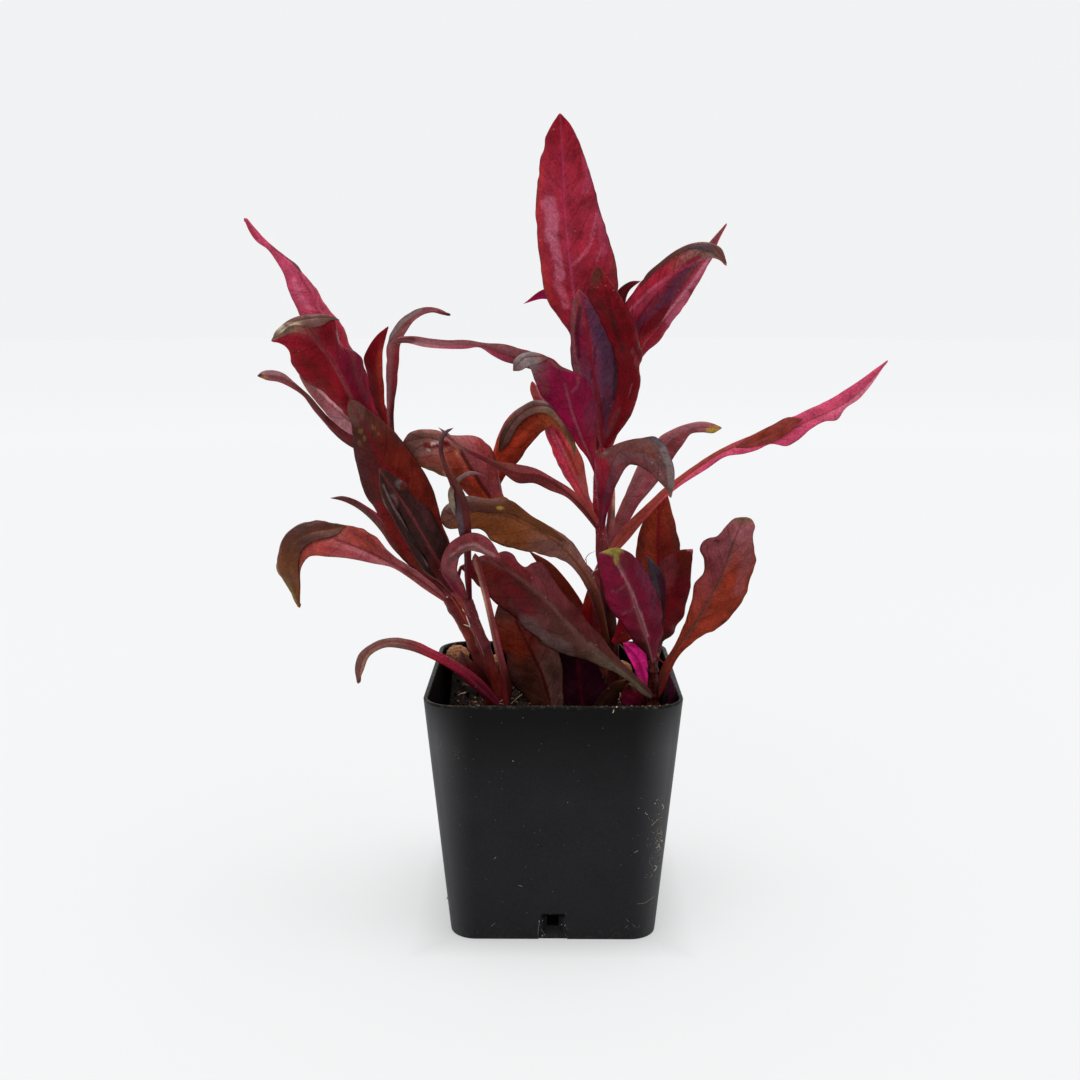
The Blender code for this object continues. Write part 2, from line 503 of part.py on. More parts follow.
        left=((616, 633), (619, 618), (629, 603)),
        right=((629, 640), (640, 626), (644, 610)),
        deep=(0.6, -0.4, -1.2, -1.8), colour="crimson"),
    "leaf_pot_right_purple": leaf(
        None,
        mid=((666, 718), (669, 702), (671, 687), (670, 673)),
        left=((662, 707), (664, 693), (667, 681)),
        right=((673, 708), (675.5, 697), (674, 684)),
        deep=(-18.5, -18.5, -18, -17.5), colour="purple_black"),
}

# Sub-part colours (linear red, green, blue) and roughness
COLOURS = {
    "crimson": ((0.26, 0.014, 0.034), 0.45),
    "pink_red": ((0.38, 0.040, 0.075), 0.45),
    "magenta": ((0.32, 0.012, 0.075), 0.42),
    "maroon": ((0.085, 0.010, 0.018), 0.40),
    "mauve": ((0.19, 0.065, 0.085), 0.45),
    "purple_black": ((0.028, 0.010, 0.018), 0.38),
    "rust": ((0.17, 0.030, 0.014), 0.42),
    "olive_brown": ((0.12, 0.060, 0.022), 0.45),
    "stem": ((0.16, 0.020, 0.018), 0.50),
    "pot": ((0.012, 0.012, 0.013), 0.42),
    "medium": ((0.060, 0.030, 0.018), 0.95),
    "clay": ((0.220, 0.080, 0.040), 0.90),
}


def even(values, t):
    """Smooth values given at equal steps of t from 0 to 1."""
    values = np.asarray(values, float)
    if len(values) == 1:
        return np.full(len(t), values[0])
    return through(np.linspace(0.0, 1.0, len(values)), values[:, None], t)[:, 0]


def through(knots, points, t):
    """A smooth curve through the points: cubic pieces whose slopes are those of the parabola
    through each point and its neighbours."""
    slopes = np.gradient(points, knots, axis=0)
    i = np.clip(np.searchsorted(knots, t, side="right") - 1, 0, len(knots) - 2)
    step = (knots[i + 1] - knots[i])[:, None]
    u = ((t - knots[i])[:, None]) / step
    return ((2 * u**3 - 3 * u**2 + 1) * points[i] + (u**3 - 2 * u**2 + u) * step * slopes[i]
            + (3 * u**2 - 2 * u**3) * points[i + 1] + (u**3 - u**2) * step * slopes[i + 1])


def line(points, t):
    """A smooth line through the points, t running from 0 to 1 along its length."""
    points = np.asarray(points, float)
    steps = np.linalg.norm(np.diff(points[:, :2], axis=0), axis=1)
    knots = np.concatenate(((0.0,), np.cumsum(steps))) / steps.sum()
    return through(knots, points, t)


def sight(places, deep):
    """The points that lie deep mm behind the pot's middle plane and are seen at the places."""
    turn = np.array((math.cos(EYE_TURN), math.sin(EYE_TURN), 0.0))
    ahead = np.array((-math.sin(EYE_TURN) * math.cos(EYE_DIP),
                      math.cos(EYE_TURN) * math.cos(EYE_DIP), -math.sin(EYE_DIP)))
    up = np.cross(turn, ahead)
    offset = (np.asarray(places, float) - PLANE_MIDDLE) / PLANE_DISTANCE
    rays = ahead + offset[:, :1] * turn - offset[:, 1:2] * up
    return EYE + rays * ((deep - EYE[1]) / rays[:, 1])[:, None]


def unit(vectors):
    """The vectors at length 1."""
    return vectors / (np.linalg.norm(vectors, axis=-1, keepdims=True) + 1e-9)


def stem_line(name, count):
    """Points and radii along a stem, foot to top."""
    stem = STEMS[name]
    t = np.linspace(0.0, 1.0, count)
    places = line(stem["path"], t)
    return sight(places[:, :2], places[:, 2]), even(stem["radius"], t)


def stalk_start(shape):
    """How far along its midrib a leaf starts, so that it stands clear of the stem it grows on,
    or of the medium where its stem is buried."""
    t = np.linspace(0.0, 0.45, 91)
    midrib = sight(line(shape["mid"], t), even(shape["deep"], t))
    if shape["stem"] is None:
        above = midrib[:, 2] - medium_height(midrib[:, 0], midrib[:, 1])
        return t[np.argmax(above > STALK_CLEAR)]
    axis, radius = stem_line(shape["stem"], 60)
    away = np.linalg.norm(midrib[:, None] - axis[None], axis=2) - radius[None]
    near = np.nonzero(away.min(axis=1) < GAP + STALK_HALF)[0]
    return t[near[-1] + 1] if len(near) and near[-1] < len(t) - 1 else 0.0


def blade(shape, t, across):
    """The leaf's middle surface on a grid: along the midrib by t, across from margin to margin.

    Each half runs straight from midrib to margin and bulges by its cup, in mm at the widest
    place. The margins stand off the midrib by the stalk's half width where the leaf starts.
    """
    deep = even(shape["deep"], t)
    midrib = sight(line(shape["mid"], t), deep)
    along = unit(np.gradient(midrib, axis=0))
    sideways = unit(np.cross(midrib - EYE, along))
    grid = np.repeat(midrib[:, None, :], len(across), axis=1)
    for sign, margin, lean, cup in ((-1, shape["left"], shape["lean"][0], shape["cup"][0]),
                                    (1, shape["right"], shape["lean"][1], shape["cup"][1])):
        places = line((shape["mid"][0], *margin, shape["mid"][-1]), t)
        edge = sight(places, deep + even((0.0, *lean, 0.0), t))
        edge = edge + sign * sideways * (STALK_HALF * (1.0 - t) ** STALK_TAPER)[:, None]
        half = edge - midrib
        width = np.linalg.norm(half, axis=1)
        bulge = unit(np.cross(half, along)) * sign
        swell = (cup * width / width.max())[:, None] * bulge
        column = across * sign > 0
        share = np.abs(across[column])[None, :, None]
        grid[:, column] = (midrib[:, None] + share * half[:, None]
                           + 4 * share * (1 - share) * swell[:, None])
    return grid


def leaf_solid(name, shape):
    """A leaf as one closed body: lens-shaped rings of eight corners, closed at the stalk and
    drawn to a point at the tip."""
    start = stalk_start(shape)
    rough = sight(line(shape["mid"], np.linspace(start, 1, 20)),
                  even(shape["deep"], np.linspace(start, 1, 20)))
    length = np.linalg.norm(np.diff(rough, axis=0), axis=1).sum()
    count = int(np.clip(round(length / STATION_LENGTH), *STATIONS)) + 1
    t = start + (1.0 - start) * np.linspace(0.0, 1.0, count)
    grid = blade(shape, t, ACROSS)
    normal = unit(np.cross(np.gradient(grid, axis=0), np.gradient(grid, axis=1)))
    rib = MIDRIB_THICK + (LEAF_THICK - MIDRIB_THICK) * np.linspace(0.0, 1.0, count)
    thick = np.stack((0 * t, 0 * t + LEAF_THICK, rib, 0 * t + LEAF_THICK, 0 * t), axis=1) / 2
    front = grid + normal * thick[:, :, None]
    back = grid - normal * thick[:, :, None]
    rings = np.concatenate((front, back[:, 3:0:-1]), axis=1)[:-1]
    points = np.concatenate((rings.reshape(-1, 3), grid[-1, 2][None]))
    return closed_mesh(name, points, *ring_faces(len(rings), 8, tip=True))


def ring_faces(rings, sides, tip):
    """Faces that join rings of corners into one closed body, with a point or a cap at its end."""
    faces = [[i * sides + j, i * sides + (j + 1) % sides, (i + 1) * sides + (j + 1) % sides,
              (i + 1) * sides + j] for i in range(rings - 1) for j in range(sides)]
    last = (rings - 1) * sides
    end = ([[last + j, last + (j + 1) % sides, rings * sides] for j in range(sides)] if tip
           else [[last + j for j in range(sides)]])
    return faces + end, [[j for j in reversed(range(sides))]]


def closed_mesh(name, points, sides, caps):
    """A mesh object in metres whose faces point outwards."""
    mesh = bpy.data.meshes.new(name)
    mesh.from_pydata((points * MM).tolist(), [], sides + caps)
    shaped = bmesh.new()
    shaped.from_mesh(mesh)
    bmesh.ops.recalc_face_normals(shaped, faces=shaped.faces)
    if shaped.calc_volume(signed=True) < 0:
        bmesh.ops.reverse_faces(shaped, faces=shaped.faces)
    shaped.to_mesh(mesh)
    shaped.free()
    body = bpy.data.objects.new(name, mesh)
    bpy.context.scene.collection.objects.link(body)
    return body


def tube(name, axis, radius, sides):
    """A round stem carried along its axis, closed by flat ends."""
    along = unit(np.gradient(axis, axis=0))
    first = unit(np.cross(along, np.array((0.0, 1.0, 0.0))))
    second = np.cross(first, along)
    angle = np.linspace(0.0, 2 * math.pi, sides, endpoint=False)
    rings = (axis[:, None] + radius[:, None, None]
             * (np.cos(angle)[None, :, None] * first[:, None]
                + np.sin(angle)[None, :, None] * second[:, None]))
    return closed_mesh(name, rings.reshape(-1, 3), *ring_faces(len(axis), sides, tip=False))


def square_ring(half, corner, height):
    """Corners of a square with rounded corners, at a height."""
    angle = np.linspace(0.0, math.pi / 2, CORNER_STEPS + 1)
    quarters = []
    for turn in range(4):
        x = (half - corner) + corner * np.cos(angle)
        y = (half - corner) + corner * np.sin(angle)
        spin = turn * math.pi / 2
        quarters.append(np.stack((x * math.cos(spin) - y * math.sin(spin),
                                  x * math.sin(spin) + y * math.cos(spin),
                                  np.full(len(x), height)), axis=1))
    return np.concatenate(quarters)


def wall_half(height):
    """Half the pot's outer width at a height."""
    return BASE_HALF + (RIM_HALF - BASE_HALF) * height / POT_HEIGHT


def wall_corner(height):
    """Radius of the pot's upright corners at a height."""
    return BASE_CORNER + (RIM_CORNER - BASE_CORNER) * height / POT_HEIGHT


def block(name, x, y, z):
    """A box given by its extents."""
    corners = np.array([(a, b, c) for c in z for a, b in
                        ((x[0], y[0]), (x[1], y[0]), (x[1], y[1]), (x[0], y[1]))])
    return closed_mesh(name, corners, *ring_faces(2, 4, tip=False))


def combine(body, other, operation):
    """Adds other to the body, or cuts it away, and hides the tool that did it."""
    change = body.modifiers.new(other.name, "BOOLEAN")
    change.object = other
    change.operation = operation
    change.solver = "EXACT"
    other.hide_render = True
    other.display_type = "WIRE"


def turned(body, quarter):
    """The body turned about the pot's upright axis by quarter turns."""
    body.rotation_euler = (0.0, 0.0, quarter * math.pi / 2)
    return body


def make_pot():
    """The pot: a tapered square shell with rounded corners and a drain notch in each side."""
    rings = [square_ring(BASE_HALF - FOOT_BEVEL, BASE_CORNER - FOOT_BEVEL, 0.0)]
    rings += [square_ring(wall_half(z), wall_corner(z), z)
              for z in (FOOT_BEVEL, POT_HEIGHT / 2, POT_HEIGHT)]
    rings += [square_ring(wall_half(z) - POT_WALL, wall_corner(z) - POT_WALL, z)
              for z in (POT_HEIGHT, POT_HEIGHT / 2, FLOOR_THICK)]
    sides = len(rings[0])
    pot = closed_mesh("pot", np.concatenate(rings), *ring_faces(len(rings), sides, tip=False))
    outer = wall_half(NOTCH_TOP)
    for quarter in range(4):
        boss = block(f"boss_{quarter}", (-BOSS_HALF, BOSS_HALF),
                     (-outer + POT_WALL / 2, -outer + BOSS_DEPTH), (FLOOR_THICK / 2, BOSS_TOP))
        combine(pot, turned(boss, quarter), "UNION")
        wedge = notch_wedge(f"notch_{quarter}", outer)
        combine(pot, turned(wedge, quarter), "DIFFERENCE")
        window = block(f"window_{quarter}", (-NOTCH_WINDOW_HALF, NOTCH_WINDOW_HALF),
                       (-outer - PAST, -outer + BOSS_DEPTH + PAST), NOTCH_WINDOW)
        combine(pot, turned(window, quarter), "DIFFERENCE")
    return pot


def notch_wedge(name, outer):
    """The notch's hollow: its back slopes from the wall's face at the foot inwards to the top."""
    profile = ((-outer - PAST, NOTCH_BOTTOM), (-outer + NOTCH_FOOT_DEPTH, NOTCH_BOTTOM),
               (-outer + NOTCH_DEPTH, NOTCH_TOP - NOTCH_ROOF), (-outer + NOTCH_DEPTH, NOTCH_TOP),
               (-outer - PAST, NOTCH_TOP))
    points = np.array([(x, y, z) for x in (-NOTCH_HALF, NOTCH_HALF) for y, z in profile])
    return closed_mesh(name, points, *ring_faces(2, len(profile), tip=False))


def medium_height(x, y):
    """Height of the medium's surface: lumpy, rising to the back, sunken in the pot's near left
    corner, and heaped up round the clay balls."""
    lumps = 0.7 * np.sin(0.31 * x + 1.3) * np.cos(0.27 * y - 0.6) + 0.4 * np.sin(0.55 * x - 0.4 * y)
    rise = MEDIUM_BACK_RISE * np.clip((y - MEDIUM_RISE_FROM) / MEDIUM_RISE_RUN, 0.0, 1.0)
    away = (x - HOLLOW_MIDDLE[0]) ** 2 + (y - HOLLOW_MIDDLE[1]) ** 2
    height = MEDIUM_LEVEL + lumps + rise - HOLLOW_DEPTH * np.exp(-away / HOLLOW_SPREAD**2)
    for place, deep, radius in CLAY_BALLS.values():
        middle = sight(np.array((place,)), np.array((deep,)))[0]
        away = (x - middle[0]) ** 2 + (y - middle[1]) ** 2
        heap = np.exp(-away / (HEAP_SPREAD * radius) ** 2)
        height = height + (middle[2] - BALL_SUNK * radius - height) * heap
    return height


def make_medium():
    """The growing medium: it fills the pot with a small gap to the wall, and has pockets where
    the stems and the clay balls sit in it."""
    share = np.linspace(-1.0, 1.0, MEDIUM_CELLS + 1)
    top_half = wall_half(MEDIUM_EDGE_LEVEL) - POT_WALL - GAP
    foot_half = wall_half(MEDIUM_FOOT) - POT_WALL - GAP
    across, back = np.meshgrid(share, share, indexing="ij")
    # The square grid is drawn in at its corners, to follow the pot's rounded ones
    squeeze = 1.0 - CORNER_DRAW * (across * back) ** 6
    x, y = across * squeeze * top_half, back * squeeze * top_half
    top = np.stack((x, y, medium_height(x, y)), axis=-1).reshape(-1, 3)
    rim = ([i * (MEDIUM_CELLS + 1) for i in range(MEDIUM_CELLS)]
           + [MEDIUM_CELLS * (MEDIUM_CELLS + 1) + j for j in range(MEDIUM_CELLS)]
           + [i * (MEDIUM_CELLS + 1) + MEDIUM_CELLS for i in range(MEDIUM_CELLS, 0, -1)]
           + [j for j in range(MEDIUM_CELLS, 0, -1)])
    foot = top[rim] * (foot_half / top_half, foot_half / top_half, 0.0) + (0.0, 0.0, MEDIUM_FOOT)
    faces = [[i * (MEDIUM_CELLS + 1) + j, (i + 1) * (MEDIUM_CELLS + 1) + j,
              (i + 1) * (MEDIUM_CELLS + 1) + j + 1, i * (MEDIUM_CELLS + 1) + j + 1]
             for i in range(MEDIUM_CELLS) for j in range(MEDIUM_CELLS)]
    first = len(top)
    for k, corner in enumerate(rim):
        follower = (k + 1) % len(rim)
        faces.append([corner, rim[follower], first + follower, first + k])
    medium = closed_mesh("growing_medium", np.concatenate((top, foot)), faces,
                         [[first + k for k in reversed(range(len(rim)))]])
    for name in STEMS:
        axis, radius = stem_line(name, 12)
        if axis[0, 2] < MEDIUM_LEVEL + 2.0:
            foot = axis[0] - (0.0, 0.0, POCKET_GAP)
            pocket = tube(f"pocket_{name}", np.concatenate((foot[None], axis[1:])),
                          radius + POCKET_GAP, 8)
            combine(medium, pocket, "DIFFERENCE")
    for name, (place, deep, radius) in CLAY_BALLS.items():
        combine(medium, ball(f"pocket_{name}", place, deep, radius + POCKET_GAP), "DIFFERENCE")
    return medium


def ball(name, place, deep, radius):
    """A lumpy ball of fired clay."""
    shaped = bmesh.new()
    bmesh.ops.create_icosphere(shaped, subdivisions=2, radius=radius)
    middle = sight(np.array((place,)), np.array((deep,)))[0]
    for vertex in shaped.verts:
        lump = 1.0 + BALL_LUMP * math.sin(2.1 * vertex.co.x + 1.7 * vertex.co.z)
        vertex.co = vertex.co * lump
    points = np.array([vertex.co[:] for vertex in shaped.verts]) + middle
    faces = [[vertex.index for vertex in face.verts] for face in shaped.faces]
    shaped.free()
    return closed_mesh(name, points, faces, [])


def finish(name, colour):
    """A plain material in the sub-part's colour."""
    tint, rough = COLOURS[colour]
    material = bpy.data.materials.new(name)
    material.use_nodes = True
    shader = material.node_tree.nodes["Principled BSDF"]
    shader.inputs["Base Color"].default_value = (*tint, 1.0)
    shader.inputs["Roughness"].default_value = rough
    material.diffuse_color = (*tint, 1.0)
    return material


def main():
    """Builds the potted plant in an emptied scene."""
    for old in list(bpy.data.objects):
        bpy.data.objects.remove(old)
    dress(make_pot(), "pot")
    dress(make_medium(), "medium")
    for name, (place, deep, radius) in CLAY_BALLS.items():
        dress(ball(name, place, deep, radius), "clay")
    for name, stem in STEMS.items():
        axis, radius = stem_line(name, 3 * len(stem["path"]))
        dress(tube(name, axis, radius, stem["sides"]), "stem")
    for name, shape in LEAVES.items():
        dress(leaf_solid(name, shape), shape["colour"])


def dress(body, colour):
    """Gives a body its own material and smooth shading."""
    body.data.materials.append(finish(body.name, colour))
    body.data.shade_smooth()
    body.data.set_sharp_from_angle(angle=SHARP_ANGLE)


main()
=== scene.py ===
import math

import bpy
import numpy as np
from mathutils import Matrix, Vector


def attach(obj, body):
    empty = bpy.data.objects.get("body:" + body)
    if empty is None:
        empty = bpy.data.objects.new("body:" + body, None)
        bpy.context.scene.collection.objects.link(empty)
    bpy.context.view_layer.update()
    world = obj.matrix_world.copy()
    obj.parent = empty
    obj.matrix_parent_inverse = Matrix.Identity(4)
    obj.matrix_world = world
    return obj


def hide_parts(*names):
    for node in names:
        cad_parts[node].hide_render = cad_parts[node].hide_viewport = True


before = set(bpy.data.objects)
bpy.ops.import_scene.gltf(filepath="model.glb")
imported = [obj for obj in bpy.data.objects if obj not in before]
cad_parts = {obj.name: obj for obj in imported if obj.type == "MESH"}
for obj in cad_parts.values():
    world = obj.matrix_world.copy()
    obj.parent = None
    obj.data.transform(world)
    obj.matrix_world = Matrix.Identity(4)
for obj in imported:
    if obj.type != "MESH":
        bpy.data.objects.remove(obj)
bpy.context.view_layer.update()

# Looks of the potted Alternanthera reineckii: leaves, stems, growing medium, clay balls and pot.
#
# Shapes are worked out in millimetres and stored in metres. A place on the plant is given as
# (across, down) on a picture plane of 1080 units seen from the front, with its depth behind
# the pot's middle plane; sight() turns it into a point.

MM = 0.001
SEED = 11

# Where the plant is seen from
EYE = np.array((-0.6, -294.6, 138.3))
EYE_TURN = math.radians(0.48)
EYE_DIP = math.radians(9.83)
PLANE_DISTANCE = 1292.0
PLANE_MIDDLE = 540.0
SENSOR = 36.0

# Pot
RIM_HALF, BASE_HALF, POT_HEIGHT = 28.5, 23.3, 56.0
POT_WALL, FLOOR_THICK = 1.0, 1.6
RIM_CORNER, BASE_CORNER = 7.5, 6.0
EDGE_ROUND = 0.3
CORNER_STEPS = 16
NOTCH_TOP, NOTCH_DEPTH, NOTCH_STEP, PAST = 6.5, 2.0, 0.5, 1.0
NOTCH_FRAME = ((3.36, -0.8), (2.66, 6.5))
NOTCH_INSET = ((2.75, 0.9), (2.3, 6.1))
NOTCH_INNER = ((1.3, 2.5), (1.15, 5.2))
NOTCH_WINDOW_HALF, NOTCH_WINDOW = 1.3, (2.5, 5.2)
BOSS_HALF, BOSS_DEPTH, BOSS_TOP = 4.0, 3.2, 8.4

# Growing medium
GAP = 0.35
MEDIUM_LEVEL, MEDIUM_BACK_RISE, MEDIUM_RISE_FROM, MEDIUM_RISE_RUN = 43.5, 4.5, 2.0, 18.0
HOLLOW_DEPTH, HOLLOW_MIDDLE, HOLLOW_SPREAD = 13.0, (-17.0, -11.0), 10.5
# Height below which the medium's hollow is painted in full shade
HOLLOW_SHADE_LEVEL = 38.0
MEDIUM_FOOT, MEDIUM_EDGE_LEVEL, MEDIUM_CELLS = 9.0, 35.5, 150
BALL_SUNK, HEAP_SPREAD = 0.4, 2.0
CLAY_BALLS = {
    "clay_ball_left": ((457.5, 656.5), 20.5, 3.0),
    "clay_ball_small": ((495.5, 662.0), 22.0, 1.9),
    "clay_ball_right": ((622.0, 671.0), 19.0, 2.6),
}

# Leaf blades in mm: rows along and columns across, crowded towards the midrib
ROW_LENGTH, ROWS, COLUMNS, CROWDING = 0.55, (36, 170), 33, 1.15
STALK_HALF, STALK_TAPER, FOLD_FOOT, LAID_STEPS = 0.62, 4, 0.06, 9
BLADE_THICK, STALK_THICK, STALK_SPREAD, BROAD_FROM = 0.13, 0.42, 1.3, 1.0
WAVE_HEIGHT, WAVE_SIZE, SMALL_WAVE_SIZE = 0.36, 3.2, 1.4
QUILT_HEIGHT, VEIN_GAP, VEIN_SLANT = 0.20, 3.0, 0.9
DIMPLE_HEIGHT, DIMPLE_SIZE = 0.18, 2.1
RIB_HEIGHT, RIB_HALF = 0.34, 0.42

# Leaf colours: how far along the leaf the four colours of each half sit, where the margin starts
PAINT_STOPS, MARGIN_FROM = (0.12, 0.42, 0.68, 0.94), 0.88
GLOSS, LEAF_SPECULAR, STROKE_STEPS = 0.65, 0.04, 50

# Stems, threads, hairs, crumbs and clay balls
STEM_RINGS, STEM_SIDES, NODE_SWELL, NODE_REACH, RIDGES = 110, 30, 0.28, 0.035, 0.045
THREAD_RINGS, THREAD_SIDES, HAIR_RADIUS = 12, 6, 0.022
CRUMBS, FIBRES, BALL_RINGS, BALL_SIDES = 2300, 420, 40, 64
NO_QUADS = np.zeros((0, 4))

# Tissues without veins: name, roughness, specular, patch and grain scale, mottling, relief in m
PLAIN_TISSUES = (("damp_peat", 0.85, 0.15, 500.0, 4200.0, 0.9, 0.0003),
                 ("fired_clay", 0.8, 0.2, 700.0, 5200.0, 0.8, 0.0001),
                 ("dry_fibre", 0.7, 0.2, 600.0, 5200.0, 0.5, 0.0),
                 ("pale_hair", 0.5, 0.4, 300.0, 3000.0, 0.2, 0.0))

# Tissue colours (linear red, green, blue)
SHADES = {
    "blood": (0.135, 0.0015, 0.005), "deep_red": (0.185, 0.005, 0.010),
    "crimson": (0.265, 0.010, 0.024), "cherry": (0.36, 0.012, 0.055),
    "rose_red": (0.33, 0.022, 0.045), "wine": (0.13, 0.004, 0.020), "magenta": (0.21, 0.003, 0.036),
    "hot_magenta": (0.42, 0.008, 0.12), "rose": (0.43, 0.050, 0.105),
    "pink_magenta": (0.62, 0.014, 0.20), "pink": (0.58, 0.15, 0.23),
    "pale_pink": (0.68, 0.34, 0.38), "dusky": (0.155, 0.027, 0.032), "mauve": (0.235, 0.070, 0.078),
    "pale_mauve": (0.35, 0.16, 0.18), "grey": (0.19, 0.14, 0.14), "chalk": (0.30, 0.29, 0.255),
    "dim_chalk": (0.125, 0.12, 0.105), "straw_grey": (0.21, 0.19, 0.125),
    "red_black": (0.030, 0.004, 0.003), "maroon": (0.075, 0.010, 0.010),
    "red_brown": (0.125, 0.010, 0.006), "rust": (0.195, 0.022, 0.009),
    "brick": (0.22, 0.034, 0.026), "brown_black": (0.030, 0.010, 0.008),
    "brown": (0.075, 0.022, 0.015), "grey_brown": (0.135, 0.055, 0.045),
    "scarlet": (0.43, 0.022, 0.024), "scarlet_brown": (0.26, 0.026, 0.010),
    "violet": (0.090, 0.030, 0.072), "plum_brown": (0.075, 0.020, 0.022),
    "ochre": (0.25, 0.085, 0.020), "amber_brown": (0.19, 0.048, 0.012),
    "pale_dusk": (0.16, 0.072, 0.080), "tan": (0.27, 0.13, 0.08),
    "olive_brown": (0.13, 0.038, 0.012), "olive": (0.16, 0.11, 0.035),
    "olive_grey": (0.20, 0.145, 0.10), "purple_black": (0.014, 0.002, 0.005),
    "purple": (0.045, 0.005, 0.017), "plum": (0.105, 0.020, 0.045),
    "blue_grey": (0.060, 0.040, 0.050), "yellow": (0.45, 0.28, 0.04),
    "yellow_green": (0.28, 0.24, 0.04), "orange": (0.38, 0.10, 0.02), "cream": (0.62, 0.52, 0.34),
    "black": (0.006, 0.004, 0.004), "white": (0.80, 0.76, 0.73), "earth": (0.045, 0.024, 0.015),
    "peat": (0.018, 0.009, 0.006), "straw": (0.36, 0.24, 0.12), "clay": (0.36, 0.150, 0.070),
    "root": (0.42, 0.30, 0.22),
}



def places(text):
    """The places in a text, each written as its numbers with commas between."""
    return np.array([[float(part) for part in word.split(",")] for word in text.split()])


def numbers(text):
    """The numbers in a text."""
    return np.array([float(word) for word in text.split()])


def entries(text):
    """The entries of a text that semicolons part: each one's places, and its words after them."""
    found = []
    for entry in text.split(";") if text else ():
        words = entry.split()
        count = sum("," in word for word in words)
        found.append((places(" ".join(words[:count])), *words[count:]))
    return found


def stem(path, radius, shades, nodes):
    """One stem: its places from the pot upwards as across,down,deep, its radii and its colours
    from foot to top, and how far along its swollen nodes sit."""
    return dict(path=places(path), radius=numbers(radius), shades=shades.split(),
                nodes=numbers(nodes))


def leaf(mid, left, right, deep, lean="0/0", cup="0 0", colour="crimson", foot=STALK_HALF):
    """One leaf's shape. mid runs from the stalk to the tip; left and right are its margins as seen
    with the tip ahead. deep is how far back the midrib lies, at equal steps; lean is how much
    deeper the left and the right margin lie; cup is how far each half bulges. colour is not
    used, and foot is its stalk's half width."""
    mid = places(mid)
    sides = [(sign, (mid[0], *places(margin), mid[-1]), (0.0, *numbers(deeper), 0.0), bulge)
             for sign, margin, deeper, bulge in zip((-1, 1), (left, right), lean.split("/"),
                                                    numbers(cup))]
    return dict(mid=mid, sides=sides, deep=numbers(deep), colour=colour, foot=foot)


def fold(*outline, **more):
    """A fold, flap or rolled margin that lies on a leaf: as leaf(), but deep is how far it stands
    in front of the leaf's own face, and it starts from a point."""
    return leaf(*outline, foot=FOLD_FOOT, **more)


def paint(left, right, rib, back, marks="", satin=0.04, rim="", relief=1.0, light=1.1):
    """One leaf's colours: four along each half from stalk to tip, the midrib's, the face that
    looks away, and marks. A mark is its places, size, shade and strength: one place is the middle
    of a soft ellipse of that half width and height, more are a stroke of that half width. satin
    is how glossy its skin is, rim a shade for its margin, relief scales its waves and light its
    colours."""
    return dict(left=left.split(), right=right.split(), rib=rib, back=back, marks=entries(marks),
                satin=satin, rim=rim, relief=relief, light=light)



# Each stem: places from the pot upwards, its radii from foot to top, its colours the same way,
# and how far along its swollen nodes sit
STEMS = {
    "stem_left": stem("491,716,2.5 487,680,2 478.5,657.6,1.5 470,637,1 460.5,620,0.9 453,608,0.8 "
        "446,598,0.8", "1.4 1.3 1.35 1.25 1", "red_brown dusky brick dusky", "0.55 0.9"),
    "stem_left_main": stem("502,722,-5 499.7,703,-5 496.5,684,-4.6 490,663,-4.2 483,643,-4 "
        "475,622,-4 467.5,599,-4.5", "1.6 1.45 1.35 1.3 1.25", "maroon red_brown dusky dusky",
        "0.1 0.62"),
    "stem_left_upper": stem("473,621,-4.2 462,601,-3 450,585,-1.2 430,548,1.5 408,492,4.5 "
        "391,436,7", "0.9 1.1 1.1 0.9", "brick dusky maroon grey_brown", "0.02 0.5 0.97"),
    "stem_centre": stem("611,724,6 611,692,5.5 614,668,4.5 611.5,643,3 610,620,2 606,590,1 "
        "603,560,0.5 600,520,0 598,480,0 602,446,0", "1.5 1.45 1.4 1.45 1.3 1.2 1.1 0.9",
        "red_black maroon brown_black dusky crimson rose_red", "0.1 0.3 0.62 0.78"),
    "stem_right": stem("654,726,-12 653,700,-12.5 652.5,676,-13 653,660,-13.5", "1.4 1.3 1.15 1.05",
        "black red_black red_black red_black", "0.3 0.85"),
}
